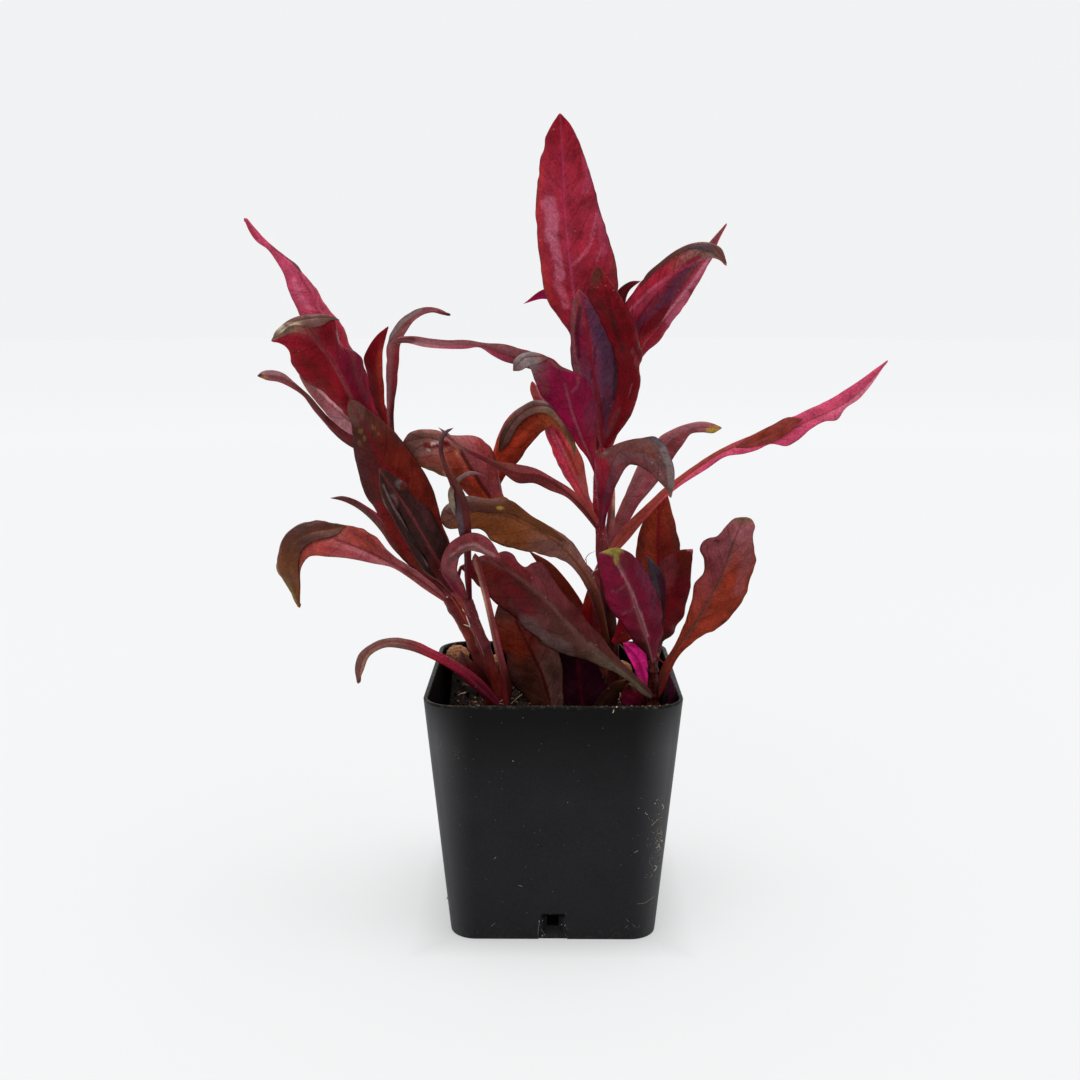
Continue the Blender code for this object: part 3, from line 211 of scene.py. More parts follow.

# Each leaf's shape and colours, and then those of its fold, flap or rolled margin. The greys in
# a leaf's colours are partly its own colour and partly a painted sheen.
LEAVES = {
    "leaf_crown_tall": (leaf("601,444 590,380 577,318 571,272 565,216 563,165 560,113",
        "597,430 583,375 568,330 548,301 541,268 537,232 536,197 540,165 546,138 554,121",
        "607,425 607,370 611,325 617,290 616,262 607,231 597,197 587,161 578,138 568,121",
        "1.8 6 9 11 12", lean="1.5 2/2 1", cup="1 1"),
        paint("crimson crimson rose_red crimson", "crimson crimson rose_red crimson", "rose",
        "maroon", "541,165 538,200 539,240 544,275 552,303 3.2 scarlet 0.75; "
        # The pink strokes beside the midrib are a painted highlight.
        "549,203 552,220 551,235 6.5 pink 0.62; 553,238 557,255 560,276 4.5 pink 0.62; "
        "557,283 562,294 566,305 4 pink 0.35; "
        "560,150 564,190 565,215 567,240 571,268 576,294 1.7 cherry 0.75; "
        "546,154 555,162 564,169 1.2 deep_red 0.5; 551,232 557,236 563,238 1.3 deep_red 0.6; "
        "553,260 560,266 567,271 1.4 deep_red 0.6; 557,294 562,299 566,303 1.2 deep_red 0.5; "
        "566,187 576,180 580,166 580,154 1.2 deep_red 0.45; "
        "568,214 585,201 592,197 1.3 deep_red 0.45; 573,265 587,250 593,233 597,213 1.3 pink 0.4; "
        "596,262 602,247 1.2 pink 0.35; 586,160 589,178 585,190 4 rose 0.55; "
        "598,215 603,235 604,252 4 rose 0.6; 572,205 578,225 575,250 5 crimson 0.6; "
        "614,268 4x13 brick 0.6; 560,119 6x8 blood 0.6; 556,133 9x9 deep_red 0.5", satin=0.12)),
    "leaf_crown_sliver_left": (leaf("600,460 600,400 594,350 580,315 560,295 545,293 523,304",
        "597,420 592,380 582,335 566,308 545,299", "604,420 606,370 598,322 572,296 545,289",
        "3 12 17 20 21"),
        paint("wine deep_red crimson hot_magenta", "crimson crimson crimson crimson", "crimson",
        "maroon")),
    "leaf_crown_sliver_right": (leaf("607,462 613,400 615,350 617,312 626,289 641,281",
        "608,410 607,360 610,315 620,288 632,281", "615,410 621,360 624,318 630,290",
        "2.2 10 13 15 16"),
        paint("deep_red crimson crimson maroon", "deep_red crimson crimson maroon", "crimson",
        "maroon")),
    "leaf_crown_front": (leaf("605,447 622,410 628,372 622,332 607,293 597,265",
        "608,428 616,400 617,367 611,343 598,317 590,302 587,292 592,274",
        "615,435 631,412 638,391 641,365 640,343 633,322 624,302 614,286 605,274",
        "-2 -7 -9.5 -9 -7", lean="1/1.5", cup="0.4 0.6"),
        paint("deep_red blood blood deep_red", "deep_red blood blood deep_red", "blood", "maroon",
        # The two small mauve spots high on the right are a painted sheen.
        "597,273 8x10 brown 0.8; 606,292 612,318 617,340 2 black 0.4; 636,361 2x6 mauve 0.3; "
        "633,352 2x3 mauve 0.3; 632,384 630,391 628,398 0.6 mauve 0.5; "
        "618,412 613,424 607,434 3.5 dusky 0.7; 600,303 618,330 624,350 4 red_black 0.4", satin=0.1,
        light=0.95)),
    "leaf_crown_inner": (leaf("603,447 600,418 596,388 591,352 585,316 579,289",
        "595,425 583,395 573,368 571,340 571.5,312 575,295",
        "608,430 618,400 621,370 615,345 603,318 588,298", "-1.2 -2.5 -3.5 -3.5 -2.5",
        lean="-1.5/-0.5", cup="-0.7 -0.5", colour="maroon"),
        paint("dusky plum wine dusky", "plum plum plum plum", "crimson", "crimson",
        "573,300 572,325 573,350 579,378 3 mauve 0.75; 580,308 577,335 579,356 2.2 purple 0.7; "
        "600,330 607,355 609,380 7 violet 0.75; 590,312 597,330 604,352 5 violet 0.6; "
        "614,345 616,370 614,398 2.4 purple_black 0.7; 595,348 594,365 591,378 1.2 purple 0.6; "
        "586,316 589,342 595,380 601,408 604,426 1.5 deep_red 0.7; 606,405 5x18 plum 0.6",
        satin=0.14, light=1.7)),
    "leaf_crown_right_curled": (leaf("605,446 618,398 634,352 649,318 669,283 692,259 712,251 "
        "727,266", "607,400 611,350 625,304 641,282 657,266 674,252 691,245 705,243 720,247",
        "622,402 637,365 645,343 655,332 669,308 687,276 697,263 710,258 721,261",
        "0.8 1.5 0.5 -2 -5 -7", lean="-1/1", cup="-0.4 0.4", colour="maroon"),
        paint("crimson crimson crimson olive_grey", "deep_red deep_red wine mauve", "crimson",
        # The plum, blood and purple-black strokes across the middle are a painted shadow inside the
        # curl; the thin pink strokes are painted highlights.
        "maroon", "640,327 657,307 673,289 692,267 6.5 plum 0.9; "
        "643,331 655,321 665,311 4.5 blood 0.9; "
        "636,322 652,300 668,281 690,265 1.3 purple_black 0.5; "
        "630,310 653,288 668,277 1.4 pink 0.5; 632,316 650,297 672,275 692,262 2.4 rose 0.55; "
        "682,258 692,252 706,252 1.4 pink 0.4; 688,262 700,257 2 deep_red 0.7; "
        "716,250 16x9 olive_grey 0.7", satin=0.12, light=1.5),
        fold("640,287 658,268 676,254 694,246 712,246 727,264",
        "646,275 660,262.5 676,250.5 692,243.5 708,242.5 721,248",
        "648,279 663,265 679,254 695,249 710,252 721,260", "0.2 0.5 0.6 0.7 0.5", lean="0.9/-0.2",
        cup="0.2 0.2"),
        paint("maroon brown grey_brown grey_brown", "maroon brown blue_grey grey_brown", "brown",
        "crimson", satin=0.3, rim="brown_black")),
    "leaf_crown_right_straight": (leaf("606,456 624,392 646,345 668,308 690,277 708,250 727,223",
        "613,395 630,350 650,310 676,276 699,254 713,238", "630,400 643,356 661,338 675,319 "
        "686,303 696,288 705,271 713,257 718,242", "1.8 6 9 11 11", lean="0.5/1", cup="0.4 0.4",
        colour="pink_red"),
        paint("crimson crimson dusky mauve", "crimson crimson rose rose", "crimson", "maroon",
        # The pale pink and pink streaks along the right lobe are a painted highlight.
        "659,323 681,297 697,276 712,254 1.5 pale_pink 0.4; "
        "664,327 684,300 700,272 2.4 pink 0.35; 650,340 664,326 3 crimson 0.8; "
        "692,291 3x3 crimson 0.8; 699,262 711,246 722,229 2.2 mauve 0.7", satin=0.2, light=0.9)),
    "leaf_centre_magenta": (leaf("597,473 589,451 579,426 571,400 561,378 548,362 530,359 513,371",
        "589,458 580,447 569,431 556,413 542,396 534,379 529,367 518,370",
        "594,450 596,432 597,410 594,392 589,380 577,373 563,367 552,359 538,354 521,354 514,360",
        "-1.8 -6 -10 -14 -18 -20", lean="1/1", cup="0.6 0.6", colour="magenta"),
        paint("crimson magenta magenta grey", "crimson magenta magenta grey", "magenta", "maroon",
        "558,369 565,383 1.3 wine 0.7; 565,384 574,418 585,445 593,462 1.3 mauve 0.6; "
        "581,416 589,407 592,397 1.4 wine 0.7; 572,391 578,384 578,377 1.2 mauve 0.5; "
        # The plum patch low on the right is a painted sheen.
        "561,402 554,392 548,382 1.1 wine 0.5; 545,388 5x9 dusky 0.6; 592,417 8x17 plum 0.5; "
        "546,359 558,367 580,373 589,379 595,392 1.6 grey_brown 0.8; 524,361 13x9 grey 0.7",
        satin=0.06, light=1),
        fold("549,358 536,357 524,359 513,371", "540,363 529,366 519,371",
        "541,354 528,352 516,358", "0.2 0.8 0.9 0.5", lean="-0.3/0.8", cup="0.3 0.3"),
        paint("dusky grey grey grey_brown", "dusky grey grey blue_grey", "grey_brown", "magenta",
        satin=0.4)),
    "leaf_centre_long_left": (leaf("598,456 582,410 562,377 540,362 512,354 490,348 465,344 "
        "440,344 415,341 398,340 389,345", "590,440 568,398 543,374 520,366 503,361 490,354 "
        "479,347 465,349 449,349 424,347 405,343", "593,425 577,386 556,368 532,352 515,347 "
        "503,344 485,343 467,340 448,340 431,338.5 412,336 397,338", "1 3 2 0 -3 -5", lean="1/-1",
        colour="maroon"),
        paint("maroon dusky rose pale_mauve", "maroon mauve mauve mauve", "mauve", "dusky",
        "391,342 400,341 412,340 3 maroon 0.85; 425,343 445,344 465,346 1.5 pale_mauve 0.5; "
        "483,347 505,353 523,362 2 dusky 0.6", satin=0.25, light=1.15)),
    "leaf_left_arched": (leaf("392,434 391,412 392,388 394,362 397,340 407,324 424,311 451,315",
        "389,415 387,388 387,363 388,343 392,331 400,320 412,311 428,307 440,309",
        "392,415 396,387 398.5,363 400,345 404,335 412,323 422,315 434,312 444,313",
        "7 8.5 11 14 14 12", lean="2/-2", colour="mauve"),
        paint("mauve dusky grey_brown dusky", "maroon deep_red dusky mauve", "dusky", "maroon",
        "389,400 389,370 389,346 2.4 mauve 0.6; 396,400 397,370 398,345 2 deep_red 0.6; "
        "389,338 402,322 420,310 1.8 grey 0.7; 404,332 420,318 434,311 2.4 mauve 0.6", satin=0.2)),
    "leaf_left_narrow_red": (leaf("390,437 382,412 377,388 376,362 381,340 388.5,326",
        "384,428 378,414 372,398 366.5,373 364,358 369,346 378,334",
        "388,430 384.5,412 384,396 383,371 383,350 386,337", "7 5 3 2 2", lean="1.5/-1",
        colour="rust"),
        paint("red_brown blood blood deep_red", "scarlet rust rust deep_red", "deep_red", "maroon",
        "382,400 380,375 381,350 2.2 scarlet 0.45; 373,395 370,368 376,344 3 blood 0.6", light=1)),
    "leaf_left_broad": (leaf("390,438 371,418 354,397 343,379 332,360 318,343 298,333 271,341",
        "362,428 347,415 332,400 311,384 297,371 290.5,361 289,351 281,344",
        "382,425 375,408 370,389 365,369 361,356 350,349 341,345 337,333 335,318 311,315 293,318 "
        "280,328", "6 1 -5 -10 -14 -16", lean="2.5/1.5", cup="1 1.2"),
        paint("deep_red deep_red deep_red crimson", "crimson wine crimson olive_grey", "crimson",
        "maroon", "314,337 330,358 345,385 357,408 2.2 mauve 0.55; "
        "310,330 322,346 335,364 1.2 red_black 0.5; 352,352 356,372 366,400 3 dusky 0.55; "
        "294,350 310,364 330,390 4 red_brown 0.5; 341,347 348,372 362,398 4 wine 0.3; "
        "328,330 9x12 blood 0.7; 280,342 296,343 312,345 1.2 blood 0.5; "
        "337,333 342,344 352,349 1.5 grey 0.8", satin=0.05),
        fold("339,320 328,318 312,319 296,322 283,329 273,338",
        "331,320 323,325 315,327.6 305,326 292,325.5 280,334",
        "330,315.5 312,314.5 295,317 282,325 274,334", "0.2 0.9 1.1 0.9 0.4", lean="-0.5/0.9",
        cup="0.3 0.3"),
        paint("grey_brown grey_brown olive_grey pale_mauve",
        "grey_brown grey_brown grey_brown olive_grey", "grey_brown", "maroon",
        # The cream spots on the rolled flap are a painted highlight.
        "281,329 5x4 cream 0.8; 293,324 7x2 cream 0.5", satin=0.3)),
    "leaf_left_high": (leaf("390,442 372,404 354,368 332,330 307,291 286,264 264,239 244,218",
        "375,415 347,378 320,342 299,314 294,302 288,289 283,273 276,261 267,249 257,242 249,231",
        "386,412 368,380 351,346 340,323 329,310 321,296 311,282 301,270 294,262 276,250 262,240 "
        "252,228", "9 15 18 21 22", lean="-1/2.5", cup="0.5 0.5", colour="pink_red"),
        paint("crimson rose_red rose rose", "crimson rose_red rose rose", "rose", "maroon",
        "272,246 284,254 294,262 301,270 2 brown 0.85; 299,273 310,294 319,313 1.5 crimson 0.6; "
        "304,273 316,292 324,310 1.5 crimson 0.4; 294,280 300,296 309,308 2.5 pink 0.4; "
        "270,243 284,256 1.5 crimson 0.4; 336,322 344,336 350,348 6 crimson 0.8; "
        "246,222 256,238 2 crimson 0.5", satin=0.15)),
    "leaf_left_dusky": (leaf("390,441 369,432 348,419 329,403 311,386 299,375.5",
        "366,439 351,436 339,427 328,416 318,404 309,393 302,382",
        "373,424 353,406 333,390 316,379 304,373", "7 7 6 5 4", lean="0.5/1.5", colour="mauve"),
        paint("mauve pale_mauve mauve grey_brown", "mauve pale_mauve pale_mauve mauve", "mauve",
        "dusky", light=2.25)),
    "leaf_left_thin_dark": (leaf("391,445 371,446 352,442 331,427 313,406 298,388 281,377 257,376",
        "371,451 353,447 338,437 324,422 313.5,410 304,397 293,389 278,382 266,380",
        "370,441 352,436 332,421 321,409 309,395 300,387 293,381 284,373.5 271,370 261,372",
        "6 3.5 2 0 -4 -6", lean="1/-0.5", colour="mauve"),
        paint("brown maroon dusky mauve", "dusky maroon grey_brown pale_mauve", "dusky", "maroon",
        "258.5,376.5 4.5x3.5 black 0.9; 264,377 3.5x1.5 yellow 0.85; "
        "270,373 282,375 294,381 2 pale_mauve 0.5", light=1.2)),
    "leaf_left_big_dark": (leaf("450,587 438,560 424,530 405,498 386,469 376.5,452 367,432 "
        "358,415 349,399", "440,580 422,573 404.5,560 390,541 381,519 367,496.5 358,470 353,446 "
        "351.5,424 347,407", "451,570 449.5,545 442,526 437,503.5 427,478 416,460 402,440 "
        "385,422 368,409.5 357,401", "-2.5 -4 -3.5 -3 -4 -6", lean="1/2", cup="0.7 0.7",
        colour="rust"),
        paint("red_brown red_brown maroon brown", "red_brown red_brown red_brown brown", "deep_red",
        "maroon", "355,445 362,475 376,505 6 plum_brown 0.7; "
        "358,418 370,436 372,446 6 plum_brown 0.35; 356,412 8x12 grey_brown 0.75; "
        "370,414 385,428 400,444 4 brown 0.6; 360.5,431 2.4x2 olive 0.8; "
        "373.5,428 2x2.4 olive 0.7; 379,434 2x1.6 olive 0.6; 364.5,438 1.6x2 olive 0.7; "
        "359.5,443 2x2 olive 0.6; 369,436 380,458 388,472 1.3 deep_red 0.7; "
        "400,460 418,492 430,520 7 rust 0.35; 378,505 392,528 410,552 4 deep_red 0.5; "
        "386,470 396,470 408,480 2.5 blood 0.6", satin=0.06, rim="brown", light=1.15)),
    "leaf_left_dark_front": (leaf("452,591 442,567 431,548 418,527 403,503 391,485 379,468",
        "438,580 424,569 415,555 405,537 395,521 384,503 380,484",
        "448,575 448,558 446,541 438,524.5 430,510.5 411,493 406,484 396,477 386,470",
        "-3 -8 -11 -13 -15", lean="1.5/0.5", cup="0.8 0.5", colour="purple_black"),
        paint("maroon brown_black brown_black brown",
        "brown_black brown_black brown_black brown_black", "dusky", "maroon",
        # The grey stroke along the rolled margin is a painted sheen, and the black stroke beside it
        # painted shade.
        "386,500 394,515 407,535 420,556 429,572 2 grey 0.55; "
        "391,505 400,520 413,541 425,560 2.6 black 0.6; "
        "395,491 415,520 433,555 443,572 0.9 dusky 0.9; 390,502 7x8 grey 0.5; "
        "391,503 4.5x5 red_brown 0.9; 402,484 6x5 grey 0.5; 403,485.5 3.5x3.5 red_brown 0.9; "
        "412,498 424,512 432,528 4 plum_brown 0.6", satin=0.06),
        fold("436,578 424,565 413,549 403,530 393,511 383,490 380,474",
        "428,574 418,562 407,543 397,525 387,507 380,487", "430,567 420,552 410,534 401,516 "
        "391,498 385,482", "0.2 0.7 0.8 0.7 0.3", lean="0.7/-0.2", cup="0.3 0.2"),
        paint("brown_black brown_black brown_black brown",
        "brown_black brown_black brown_black brown_black", "brown_black", "maroon",
        # The grey stroke along the fold is a painted sheen.
        "383,485 394,508 410,532 428,566 1.3 grey 0.4", satin=0.12)),
    "leaf_left_slender": (leaf("455,598 428,578 408,558 391,536 374,515 354,501 330,498",
        "435,588 414,569 401,557 390,545 382,533 370,519 355,507 342,501",
        "432,577 412,557 397,536 383,518 366.5,506 354,499 342,496", "-0.5 3 5 5 4",
        colour="mauve"),
        paint("dusky rust grey_brown grey_brown", "red_brown crimson rose grey_brown", "dusky",
        "dusky")),
    "leaf_left_drooping": (leaf("446,600 425,584 404,570 381,559 359,549 335,539 310,538 295,551 "
        "290,575 300,608", "427,589 408,576 392,567 372,563 352,559 327,557 309,557 302,566 "
        "300.5,588", "436,589 420,575 404,563 390,554 382,545 371,534 359,527 346,525 326,522 "
        "304,522 292,528 283,538 279,553 276,571 287,583 295,601", "0.5 -2 -8 -13 -16 -16 -14",
        lean="0.5 -1/1.5 2", cup="0.6 0.6", colour="rust"),
        paint("mauve mauve brick olive_brown", "mauve brick grey_brown olive", "brick", "crimson",
        "410,574 385,560 360,548 336,540 1.4 wine 0.6; "
        "352,530 366,537 380,550 398,563 3 dusky 0.5; 322,547 345,553 370,560 3 rose_red 0.45; "
        "405,572 428,588 442,600 3 brick 0.5", satin=0.12, light=1.9),
        fold("346,526 330,529.5 312,533 297,541 289,555 290,575 299,604",
        "338,534 325,538.5 312,542 303,549 299,562 300,585",
        "334,523.5 316,521.5 297,525.5 284,537 278,554 280,573 291,593", "0.2 0.8 0.9 0.8 0.6 0.3",
        lean="-0.4/0.9", cup="0.3 0.4"),
        paint("grey_brown brown olive_brown olive_brown", "brown brown olive_brown olive",
        "olive_brown", "crimson", satin=0.35, rim="brown_black")),
    "leaf_low_left_trailing": (leaf("500,706 481,688 455,666 434,656 411,645 386,643 367,654 "
        "358,684", "481,693 454,671 434,660 403,649 384,648 370,656 363,672",
        "483,683 472,673 454,661 436,651 413.5,641 391,638 373,643 358,655 355,670",
        "-6 -9 -11 -12 -13 -13", lean="-1/1", cup="0.3 0.3"),
        paint("wine crimson grey_brown tan", "wine rose_red grey_brown grey_brown", "dusky",
        "magenta", "455,655 432,632 405,614 380,607 1.6 olive_grey 0.5; "
        "462,672 438,652 415,632 395,620 1.6 cherry 0.5; 357,642 360,628 368,617 2 tan 0.6",
        satin=0.2, light=1.3)),
    "leaf_pot_left_dark": (leaf("497,703 483,688 473,674 466,662 460.6,650",
        "482,692 470,677 460,666 458,657", "491,691 488,680 481,668 470,659", "-3.5 -2.2 -2.2 -3",
        colour="maroon"),
        paint("red_black red_black maroon grey_brown", "red_black red_black maroon grey_brown",
        "maroon", "maroon", light=1.7)),
    "leaf_left_edge_on": (leaf("507,708 504,676 499,654 493.5,630 488,604 482,580 475,553",
        "504,690 499.5,665 495,650 490,628 484.5,604 478,578 473,556",
        "510.5,690 507,672 502.5,652 497,628 491,602 485,578 478,556", "-8 -9 -10 -11 -11",
        colour="olive_brown"),
        paint("blood grey_brown tan grey_brown", "red_black dusky dusky maroon", "dusky", "maroon",
        light=1.7)),
    "leaf_left_small_curled": (leaf("465.5,599 456,583 447,567 453,552 470,543 487,547 501,559",
        "452,586 441,568 443,555 450,543 460,536 473,532.5 488,538 497,550",
        "463,586 457,570 459,558 468,551 478,552 490,557", "-6 -9 -13 -16 -18 -18", lean="0.5/-1.5",
        colour="mauve"),
        paint("wine dusky dusky dusky", "dusky dusky grey_brown dusky", "dusky", "magenta",
        # The pale mauve stroke is a painted highlight.
        "450,556 464,546 475,544 484,550 494,555 1.6 pale_mauve 0.6; 476,539 3x2 red_brown 0.7; "
        "455,550 3x3 red_brown 0.6; 447,566 456,556 464,556 2.5 plum_brown 0.7", satin=0.2,
        light=1.2)),
    "leaf_left_twisted": (leaf("469.5,599 468,575 467.5,552 465,528 461,504 452,480 443,458 "
        "442,440 453.6,427.6", "466,575 464.5,552 458.5,530 456,515 453,500 449.5,484 444,470 "
        "439.5,456 438.5,445 440.5,436 446,430", "470,575 470.5,552 471,530 469.5,515 467,500 "
        "460,485 450,470 444.5,456 443,445 445,436 449,430", "-4 -9.5 -14 -17 -19 -19 -18",
        colour="maroon"),
        paint("dusky blue_grey maroon blue_grey", "wine maroon brown maroon", "maroon", "maroon",
        satin=0.2, light=1.25),
        fold("455,515 451.5,506 450,496 451,485", "452,510 448.5,500 448.5,490",
        "455.5,507 454,496 453.5,488", "0.3 0.8 0.9 0.5", lean="0.6/-0.2"),
        paint("blue_grey olive_grey grey_brown maroon", "blue_grey olive_grey olive_grey maroon",
        "olive_grey", "maroon", satin=0.3, relief=0.3)),
    "leaf_centre_ribbon_left": (leaf("598,528 581,506 562,489 540,476 516,473 496,465 476,455 "
        "456,443 438,427", "592,521 581,509 566,496 550,490 534,483 518,483 501,471.5 484,461 "
        "468,453 455,445 445,435", "595,517 583,502 571,490 554,479 534,468 515.5,464 496,461 "
        "480,454 467,448 457,441 447,432", "-0.3 -6 -9 -11 -12 -12", lean="-0.5/0.5",
        colour="maroon"),
        paint("dusky maroon maroon grey_brown", "brick dusky brown grey_brown", "maroon", "magenta",
        "480,455 14x5 wine 0.7", light=1.7)),
    "leaf_middle_brown": (leaf("607,634 600,607 587,580 567,553 542,535 517,521 500,509 489,497 "
        "474,472 455,449 432,438 403,442", "597,607 583,580 563,554 540,539 513,525 486,511 "
        "468,496 450,479 436,473 422,467 409,456", "603,607 591,580 571,551 546,532 522,516 "
        "509,503 502,488 498,470 494,452 487,443 474,436 450,435 436,430 418,430 408,434",
        "4 4.2 4 3 1 0 1", lean="0 2/0 1", cup="0.8 1", colour="rust"),
        paint("rust rust rust grey_brown", "rust rust dusky grey_brown", "red_brown", "maroon",
        "414,442 13x11 grey_brown 0.85; 434,436 18x3 grey_brown 0.6; "
        # The white specks on the red spots are painted glints, and the red-black stroke down the
        # middle a painted shadow in its crease.
        "427,446 437,445 447,444 3.4 blood 0.9; 431,444 440,442 0.9 white 0.55; "
        "428,450 1.6x1 white 0.6; 420,466 436,472 449,478 3 ochre 0.6; 445,474 2x3 cream 0.5; "
        "457,452 2.2x1.6 yellow 0.7; 461,451 473,473 490,496 1.8 red_black 0.7; "
        "450,455 458,472 468,490 5 scarlet_brown 0.7; "
        "480,445 490,455 494,475 5 scarlet_brown 0.55; 494,450 498,470 501,490 2.6 dusky 0.7; "
        "430,460 14x5 scarlet_brown 0.5", satin=0.1, light=2.45),
        fold("452,499 454,488 460,478 471,472.3 486,476", "451.4,488 457.5,477.5 470.5,471",
        "455.4,488 461.5,480.5 472,475.2", "0.3 1 1.3 1.2 0.6", lean="0.2/-0.4"),
        paint("grey_brown grey grey mauve", "grey_brown grey_brown mauve mauve", "grey", "maroon",
        satin=0.4, relief=0.3)),
    "leaf_middle_olive_arch": (leaf("607,642 601,610 592,586 583,571 572,557 560,545 543,533 "
        "527,525 509,516 487,512 464,512 441,514", "598,615 588,590 581,577 572,567 555,558 "
        "538,553 520,550 504,546 489,538 483,531 471,528 459,529 447,528 441,521",
        "604,622 600,600 594,582 586,564 578,551 566,537 549,526 532,517 518,510 511,502 "
        "506,497.5 490.5,499 466,496 452,501 443,509", "0.8 -3 -6 -8 -9 -9 -8", lean="2/1",
        cup="0.5 0.8", colour="olive_brown"),
        paint("maroon grey_brown olive_brown olive_brown",
        "maroon grey_brown olive_brown grey_brown", "olive_brown", "maroon",
        # The thin brown stroke under the fold is a painted shadow in the crease.
        "473,511 496,507 519,517 542,528 562,541 1.3 brown 0.7; "
        "486,525 505,532 520,540 8 amber_brown 0.7; 448,518 8x9 grey_brown 0.8; "
        "545,545 14x7 grey_brown 0.55", satin=0.08, light=1.9),
        fold("566,541 545,528 525,516 506,506 486,504 464,503 444,511",
        "550,535 530,524 510,514 488,513 466,511", "549,526 532,516 510,500 488,498.5 466,496 "
        "452,501", "0.1 0.5 0.7 0.8 0.6 0.3", lean="-0.2/0.8", cup="0.2 0.2"),
        paint("olive_brown olive_brown brown grey_brown", "olive_brown olive_brown grey_brown grey",
        "olive_brown", "maroon", "500,508 3x2 yellow 0.8", satin=0.15)),
    "leaf_front_big": (leaf("653,697 640,684 620,667 601,654 583,641 567,625 554,607 538,591 "
        "521,578 504,569 486,561 459,567", "643,692 631,681 619,673.5 606,667.5 589,661.5 "
        "572,657 555,651 538,640 523,627 513,616 500,606 489,596 474,581",
        "646,688 631,673 612,652 602,638 589,624 580,611 566,596 555,581 548,569 540,562 532,563 "
        "525,567 519,563 513,554 506,551 497,553 480,556", "-13.5 -14 -13 -10 -6 -4 -3",
        lean="1 0.5/0.5 1.5", cup="0.5 0.5", colour="maroon"),
        paint("olive_grey brown maroon red_brown", "brown maroon dusky dusky", "grey_brown",
        "maroon", "499,558 524,582 544,599 562,617 585,640 1.5 grey_brown 0.85; "
        # The broad grey and mauve strokes low on the leaf are a painted sheen.
        "497,562 520,585 540,601 1.2 red_black 0.5; 527,622 545,640 566,650 8 grey 0.34; "
        "515,602 528,612 545,622 6 mauve 0.25; 500,578 515,595 530,610 7 blood 0.6; "
        "535,570 550,586 565,605 5 dusky 0.6; 505,560 520,571 530,578 5 blood 0.55; "
        "590,645 615,668 640,688 3 olive_grey 0.35", satin=0.14, light=1.2)),
    "leaf_pot_brown": (leaf("553,726 550,704 543,678 535,658 525,638 513,616 499,601",
        "541,712 527,698 514,685 508,672.5 507,659 502,647 497,633.5 495,616",
        "561,712 562,690 562,669 558,650 545,632 528,614 512,603", "1 1 0 -1 -2", lean="1.5/1.5",
        cup="0.5 0.5", colour="rust"),
        paint("brown brown rust brown", "grey_brown grey_brown red_brown rust", "red_brown",
        "maroon", "516,622 530,650 540,670 550,700 1.3 red_black 0.8; "
        # The two grey-brown strokes are a painted sheen.
        "510,655 514,672 524,688 4 grey_brown 0.6; 548,660 556,680 556,700 4.5 grey_brown 0.7; "
        "527,640 9x14 rust 0.5", satin=0.16, light=1.65)),
    "leaf_pot_purple": (leaf("585,722 582,700 579,676 576,652 571,634",
        "577,715 564,700 557,683 557,662 563,643", "592,715 604,702 607,690 603,679 598,664 "
        "588,646", "4 3.5 3 2.5", cup="-0.6 -0.6", colour="purple_black"),
        paint("purple_black purple purple_black purple", "purple_black purple purple purple",
        "wine", "purple_black", light=1.4)),
    "leaf_right_front_magenta": (leaf("653,662 648,643 641,625 635,607 629,588 622,569 613,556 "
        "599,553", "649,655 638,645 628,632 621,621 611,611 604,595 600,577 598.5,561",
        "655,652 658,642 662,634 660,624 661,612 660,600 655,586 647,571 639,561 628,551.5 "
        "615,547.5", "-14.5 -17 -19 -20 -20", lean="1/1.5", cup="0.5 0.7", colour="magenta"),
        paint("red_black wine wine wine", "wine wine wine dusky", "mauve", "maroon",
        "610,550 12x4 yellow_green 0.9; 616,558 2.5x7 yellow_green 0.9; "
        "618,566 630,588 640,612 648,636 1.1 pale_mauve 0.7; 640,570 650,590 655,612 5 plum 0.5; "
        "606,575 612,595 622,612 4 magenta 0.5; 626,585 620,590 612,592 1 mauve 0.4; "
        "636,606 628,612 622,614 1 mauve 0.4", satin=0.08, relief=1.3)),
    "leaf_right_notched": (leaf("655,701 662,678 673,655 687,635 700,616 712,594 723,571 731,549 "
        "738,531 744,517", "659,680 666,661 674,647.5 681,633 687,616 692,599 695,582 703,574 "
        "704,562 700,547 703,541 717,536 726,526 735,518", "663,688 670,670 677,657 686,647.5 "
        "700,637 715,630 727,621 737,609 745,598 749,584.5 754,571 757,560 754,549 753,538 "
        "755,526 750,518", "-11 -9 -6 -2 1 3", lean="1.5/0.5", cup="0.7 0.7"),
        paint("red_brown rust dusky mauve", "red_brown rust rust mauve", "brown", "maroon",
        "744,520 10x2.5 olive 0.7; 717,541 3x1.5 black 0.9; 726,622 4x1.5 black 0.9; "
        "748,530 746,560 738,592 5 mauve 0.5; 672,656 698,620 722,574 737,532 1.3 grey_brown 0.7; "
        "706,560 702,585 696,610 5 brick 0.45; 712,545 722,538 731,530 4 dusky 0.5; "
        "664,670 676,652 688,640 3 scarlet_brown 0.5", satin=0.12, relief=1.2, light=1.25)),
    "leaf_right_rust_upright": (leaf("655,664 658,635 658,600 658,556 660,518 666,491",
        "652,645 647,612 640,580 636,554 640,530 646,515 656,500",
        "662,640 671,612 678,580 680,549 678,535 673,515 669,499", "-10.5 -3 2 4 6", lean="1/1",
        cup="0.5 0.5", colour="rust"),
        paint("red_brown rust rust rust", "red_brown rust red_brown rust", "deep_red", "maroon",
        "659,505 658,530 658,562 1.2 deep_red 0.8; 668,515 674,535 677,552 2.5 brown 0.5; "
        "645,525 642,545 640,560 3 brown 0.4", light=1.35)),
